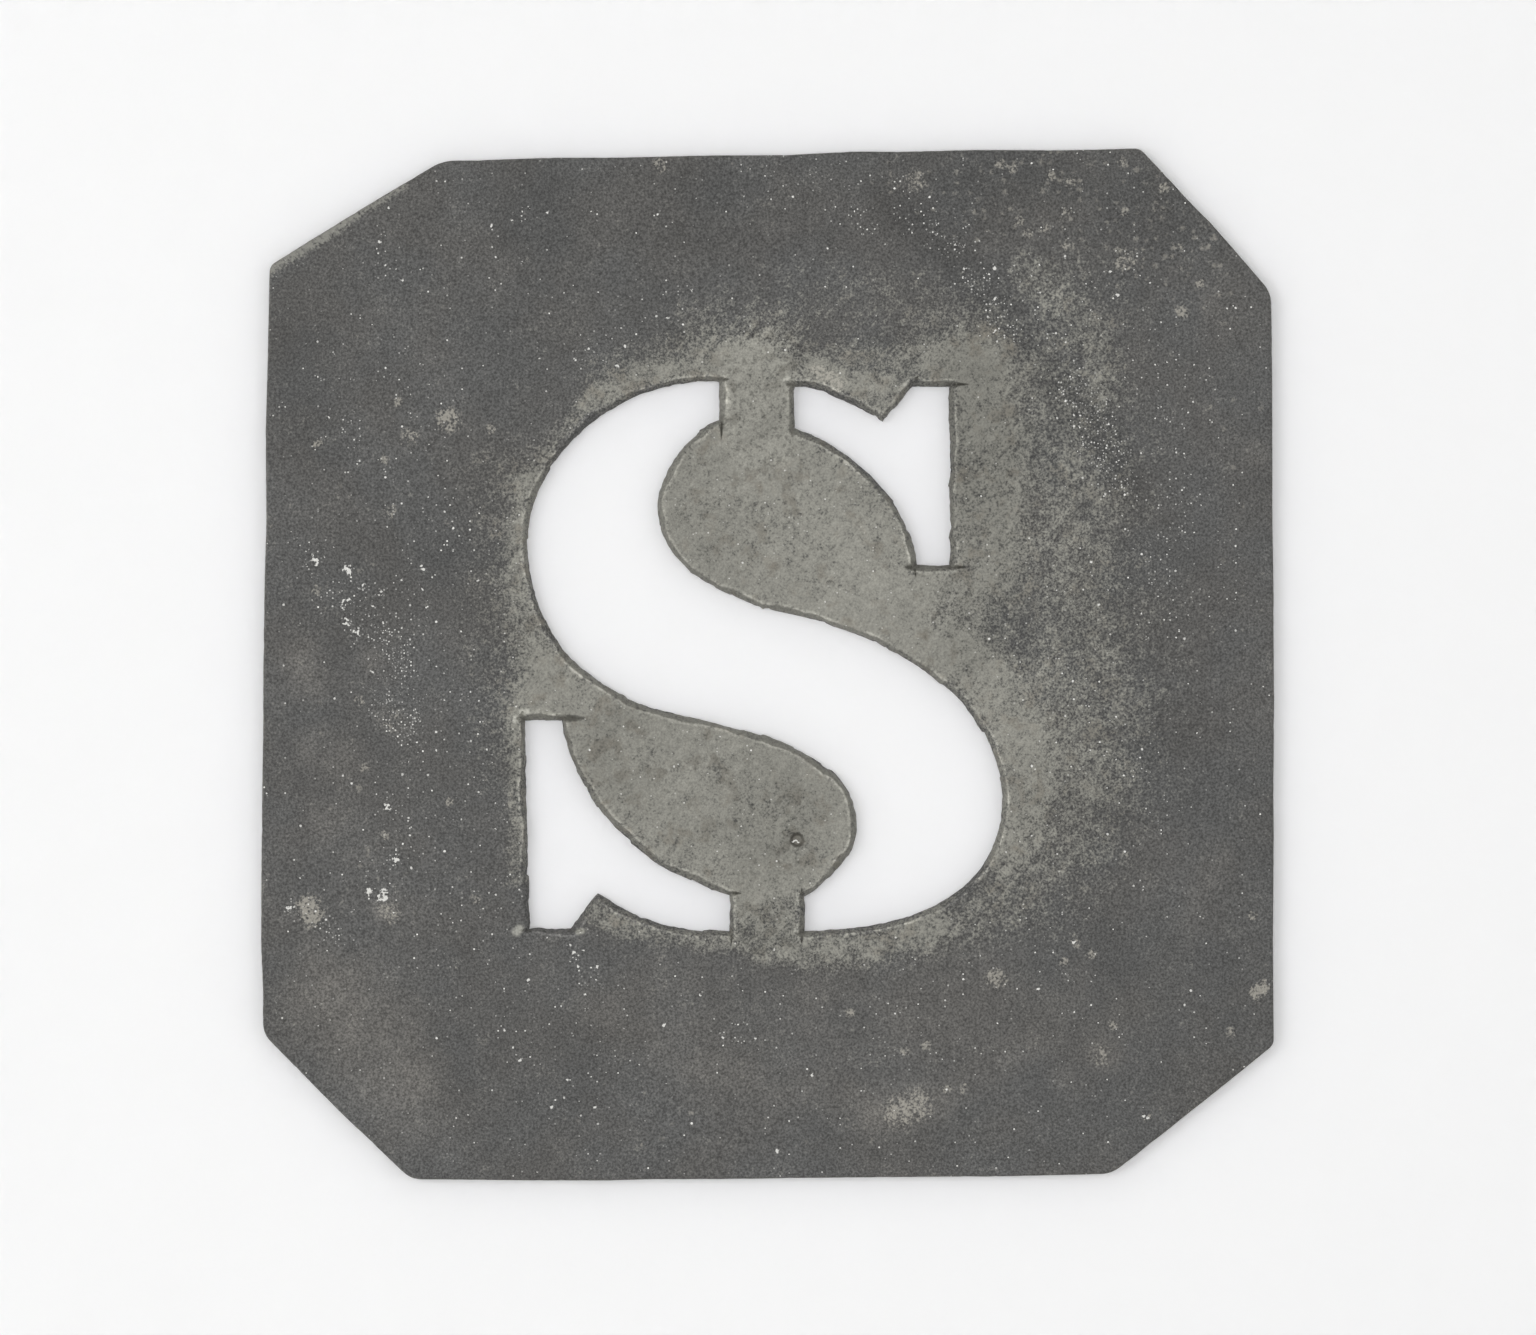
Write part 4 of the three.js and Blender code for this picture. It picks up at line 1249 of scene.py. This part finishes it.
def new_material(name):
    """An empty material, its shader and a wire to start from."""
    material = bpy.data.materials.new(name)
    material.use_nodes = True
    shader = material.node_tree.nodes["Principled BSDF"]
    return material, shader, Wire(material.node_tree)


# Colours of the finish
COOL_PATINA = paint(91, 91, 90)
WARM_PATINA = paint(92, 91, 89)
BARE_ZINC = paint(126, 125, 118)
SMUDGE = paint(106, 101, 92)
HAZE = paint(122, 119, 114)
# Grime in the nicks and the dimple, also standing for their painted shade.
GRIME_AND_SHADE_COLOUR = paint(78, 75, 69)
CRUST = paint(172, 168, 158)
FLECK = paint(238, 237, 232)
BURR = paint(178, 177, 168)
SCUFF = paint(146, 145, 138)

# Sizes in the finish: lumps of noise, brush marks (heading, length, width) and spacings of scattered marks
GRAIN_SIZE = 0.24 * MM
CRUMB_SIZE = 0.3 * MM
PIT_SIZE = 0.42 * MM
GRANULE_SIZE = 0.55 * MM
CLUMP_SIZE = 1.4 * MM
BLOT_SIZE = 1.9 * MM
BLOTCH_SIZE = 2.2 * MM
TARNISH_SIZE = 8.0 * MM
CLOUD_SIZE = 13.0 * MM
STREAK = (52, 3.6 * MM, 0.42 * MM)
HAIRLINE = (58, 2.8 * MM, 0.14 * MM)
DAPPLE_SPACING = 0.95 * MM
FLECK_SPACING = 0.85 * MM
DUST_SPACING = 0.3 * MM
BUMP_HEIGHT = 0.06 * MM


class Lumps(NamedTuple):
    """Noises that the layers of the finish share, from fine to coarse."""
    grain: Wire
    crumb: Wire
    granule: Wire
    blotch: Wire


def rubbed_patina(place, lumps):
    """Patina in cool and warm patches under a wiped haze. It is rubbed through to bare zinc where the
    rub and the lumps together pass a level, and smudges and pits darken that. Gives the colour, and how
    bare the zinc is."""
    grain, _, granule, blotch = lumps
    streak = place.brushed(*STREAK).noise(1.0, 2.0, 0.6, 5.0)
    hairline = place.brushed(*HAIRLINE).noise(1.0, 1.0, 0.5, 9.0).eased(0.6, 0.8)
    broken = grain.swing(1.4) + granule.swing(1.4) + blotch.swing(0.7)
    broken = broken + (streak - 0.5) * (0.35 + place.wear("brushed") * 0.9)
    bare = (place.wear("rubbed") * 1.08 + broken - 0.02).eased(0.15, 0.88)

    tarnish = place.noise(TARNISH_SIZE, 2.0, 0.5, 15.0).eased(0.35, 0.65)
    patches = {0: tarnish, 6: COOL_PATINA, 7: WARM_PATINA}
    colour = place.node("ShaderNodeMix", {"data_type": "RGBA"}, patches, 2)
    colour = colour.tinted(HAZE, place.wear("hazed") * (0.5 + blotch.swing(0.8) + granule.swing(0.4)))
    colour = colour.tinted(BARE_ZINC, bare)
    blot = place.noise(BLOT_SIZE, 2.0, 0.5, 19.0).eased(0.54, 0.68)
    pitted = place.wear("pitted")
    smudge = (blotch.eased(0.56, 0.74) * 0.4 + blot * 0.5) * (1.0 - pitted * 0.6)
    colour = colour.tinted(SMUDGE, smudge * bare)

    cloud = place.noise(CLOUD_SIZE, 3.0, 0.55, 11.0)
    tone = 1.0 + cloud.swing(0.5) + blotch.swing(0.36) - place.wear("darkened") * 0.26
    tone = tone + (streak.swing(0.4) + hairline * 0.12 + pitted * 0.15) * bare
    colour = colour.shaded(tone)
    fine = grain.eased(0.3, 0.7) - 0.5
    colour = colour.shaded(1.0 + fine * (0.9 - bare * 0.46) + granule.swing(0.64))
    pit = place.noise(PIT_SIZE, 2.0, 0.6, 23.0).eased(0.5, 0.66) * 0.36 + blot * 0.24
    return colour.shaded(1.0 - pit * pitted), bare


def pale_marks(colour, place, lumps):
    """Pale crusts and dapples, and scuffs along the outer edges. Each shows where its wear and the
    lumps together pass a level, so it crumbles at its border. Gives the colour, and where the crusts
    are."""
    grain, crumb, granule, blotch = lumps
    crumbled = granule.swing(2.0) + grain.swing(2.6) + crumb.swing(2.4)
    stained = place.wear("stained")
    crust = (stained + crumbled - 0.2).eased(0.0, 0.9) * stained.eased(0.0, 0.35)
    colour = colour.tinted(CRUST, crust * 0.68)
    away, chance, large, _ = place.scattered(DAPPLE_SPACING)
    there = chance + place.wear("dappled") * (0.92 + blotch.swing(2.4)) - 1.0
    dapple = (0.08 + large * 0.4 - away + granule.swing(1.4) + grain.swing(0.8)).eased(0.0, 0.5)
    colour = colour.tinted(CRUST, dapple * there.eased(0.0, 0.4) * 0.36)
    scuffed = place.wear("scuffed")
    scuff = (scuffed + crumbled * 0.6 - 0.3).eased(0.0, 0.8) * scuffed.eased(0.0, 0.4)
    colour = colour.tinted(SCUFF, scuff * 0.8)
    rim = place.wear("rim")
    rim = (rim + granule.swing(1.6) - 0.4).eased(0.0, 0.8) * rim.eased(0.0, 0.3)
    return colour.tinted(SCUFF, rim * 0.25), crust


def cut_edges(colour, place, lumps):
    """Lips along the cuts painted lighter, partly as rubbed bright metal and partly as a painted highlight,
    mottled slopes, grime with the painted shade of the hollows in the nicks and the dimple, and bright
    burrs. Gives the colour, and where the cuts are."""
    cut = place.wear("cut")
    lip = place.wear("lip") * (0.6 + lumps.granule.swing(2.0))
    # Painted lighter on the lips: partly rubbed bright metal, partly a painted highlight.
    colour = colour.shaded(1.0 + lip * 0.85)
    colour = colour.shaded(1.0 + cut * (0.05 - lumps.granule.swing(0.6)))
    # Grime and painted shade of the nicks and the dimple, darker where they are deeper.
    colour = colour.tinted(GRIME_AND_SHADE_COLOUR, place.wear("dirt_and_shade") * 0.42)
    return colour.tinted(BURR, place.wear("burred") * (0.8 + lumps.grain.swing(1.5))), cut


def white_flecks(colour, place, lumps, cut):
    """White specks at scattered points, more of them in the drifts, and flakes where they are placed.
    The lumps break their borders. Gives the colour, and where they are."""
    grain, crumb, _, blotch = lumps
    away, chance, large, strength = place.scattered(FLECK_SPACING)
    flecked = place.wear("flecked")
    there = (chance + flecked * flecked * (0.42 + blotch.swing(1.6))).eased(0.98, 0.984)
    speck = (0.045 + large * large * 0.13 - away + grain.swing(0.18)).eased(0.0, 0.06) * there
    flaked = place.wear("flaked")
    flake = (flaked + crumb.swing(5.0) + grain.swing(2.0) - 0.58).eased(0.0, 0.5) * flaked.eased(0.0, 0.25)
    fleck = speck.math("MAXIMUM", speck * (0.55 + strength * 0.45), flake * 0.8) * (1.0 - cut)
    return colour.tinted(FLECK, fleck), fleck


def white_dust(colour, place, bare, cut):
    """Fine dust at scattered points, in clumps over the drifts and thick where it is powdered. Less of
    it shows on bare zinc."""
    away, chance, large, strength = place.scattered(DUST_SPACING)
    clump = place.noise(CLUMP_SIZE, 1.0, 0.5, 31.0).eased(0.5, 0.72)
    flecked = place.wear("flecked")
    drifted = flecked * flecked
    sprinkled = flecked * (0.03 + clump * 0.14) + drifted * drifted * 0.04
    sprinkled = sprinkled + place.wear("powdered") * (0.45 + clump * 0.3)
    there = (chance + sprinkled).eased(0.983, 0.985)
    dust = (0.2 + large * 0.16 - away).eased(0.0, 0.12) * there * (1.0 - cut) * (1.0 - bare * 0.45)
    return colour.tinted(FLECK, dust * (0.16 + strength * strength * 0.8))


def weathered_zinc():
    """Zinc with a dark patina, rubbed bright in a broken halo round the letter, with pale marks, worked
    edges, white flecks and dust laid over it in turn. Lips on the cuts get a painted highlight, and nicks
    and the dimple painted shade with their grime."""
    material, shader, wire = new_material("weathered_zinc")
    place = wire.node("ShaderNodeTexCoord", {}, {}, "Object")
    lumps = Lumps(
        grain=place.noise(GRAIN_SIZE, 2.0, 0.7),
        crumb=place.noise(CRUMB_SIZE, 1.0, 0.5, 27.0),
        granule=place.noise(GRANULE_SIZE, 3.0, 0.7, 3.0),
        blotch=place.noise(BLOTCH_SIZE, 3.0, 0.6, 7.0),
    )
    colour, bare = rubbed_patina(place, lumps)
    colour, crust = pale_marks(colour, place, lumps)
    colour, cut = cut_edges(colour, place, lumps)
    colour, fleck = white_flecks(colour, place, lumps, cut)
    colour = white_dust(colour, place, bare, cut)
    height = lumps.grain * 0.5 + lumps.granule * 0.5 + fleck * 0.8 + crust * 0.3
    bumps = {"Height": height, "Strength": 0.3, "Distance": BUMP_HEIGHT}
    varied = {
        "Base Color": colour,
        "Roughness": 0.66 - bare * 0.1 + lumps.grain.swing(0.2) + fleck * 0.2,
        "Metallic": (0.3 + bare * 0.2) * (1.0 - fleck) * (1.0 - crust * 0.6) * (1.0 - cut * 0.5),
        "Normal": wire.node("ShaderNodeBump", {}, bumps),
    }
    for name, value in varied.items():
        material.node_tree.links.new(value.socket, shader.inputs[name])
    shader.inputs["Specular IOR Level"].default_value = 0.2
    return material


def matt_floor():
    """A plain pale board with no gloss, into which light spreads a few millimetres sideways."""
    material, shader, _ = new_material("matt_floor")
    shader.inputs["Base Color"].default_value = (0.94, 0.94, 0.94, 1.0)
    shader.inputs["Roughness"].default_value = 1.0
    shader.inputs["Specular IOR Level"].default_value = 0.0
    shader.subsurface_method = "BURLEY"
    shader.inputs["Subsurface Weight"].default_value = 0.5
    shader.inputs["Subsurface Radius"].default_value = (1.0, 1.0, 0.9)
    shader.inputs["Subsurface Scale"].default_value = 12.0 * MM
    return material


sheet_piece = zinc_sheet()
sheet_piece.data.materials.append(weathered_zinc())
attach(sheet_piece, "root")
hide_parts("stencil_plate")


# Floor, light and camera

def pale_floor():
    """A flat square of floor under the sheet."""
    corner = FLOOR_REACH * np.array([[-1, -1, 0], [1, -1, 0], [1, 1, 0], [-1, 1, 0]])
    mesh = bpy.data.meshes.new("pale_floor")
    mesh.from_pydata(corner.tolist(), [], [(0, 1, 2, 3)])
    mesh.materials.append(matt_floor())
    floor = bpy.data.objects.new("pale_floor", mesh)
    floor.location.z = sheet_low.z - FLOOR_GAP
    bpy.context.scene.collection.objects.link(floor)


def soft_lamp(name, place, power):
    """A square soft box that looks at the sheet."""
    light = bpy.data.lights.new(name, "AREA")
    light.size = LAMP_SIZE
    light.energy = power
    lamp = bpy.data.objects.new(name, light)
    lamp.location = place
    lamp.rotation_euler = (-Vector(place)).to_track_quat("-Z", "Y").to_euler()
    bpy.context.scene.collection.objects.link(lamp)


def even_sky():
    """The same white light from all round."""
    world = bpy.data.worlds.new("even_sky")
    world.use_nodes = True
    world.node_tree.nodes["Background"].inputs["Color"].default_value = (1.0, 1.0, 1.0, 1.0)
    world.node_tree.nodes["Background"].inputs["Strength"].default_value = SKY_STRENGTH
    bpy.context.scene.world = world


def camera_above():
    """A long lens straight above, with the picture's width across its sensor at the sheet's upper
    face."""
    lens = bpy.data.cameras.new("camera")
    lens.sensor_width = SENSOR_WIDTH
    lens.lens = SENSOR_WIDTH * CAMERA_DISTANCE / PICTURE_WIDTH
    camera = bpy.data.objects.new("camera", lens)
    camera.location = (*PICTURE_CENTRE, THICKNESS + CAMERA_DISTANCE)
    bpy.context.scene.collection.objects.link(camera)
    bpy.context.scene.camera = camera


pale_floor()
for name, (place, power) in LAMPS.items():
    soft_lamp(name, place, power)
even_sky()
camera_above()
bpy.context.scene.view_settings.view_transform = "Standard"
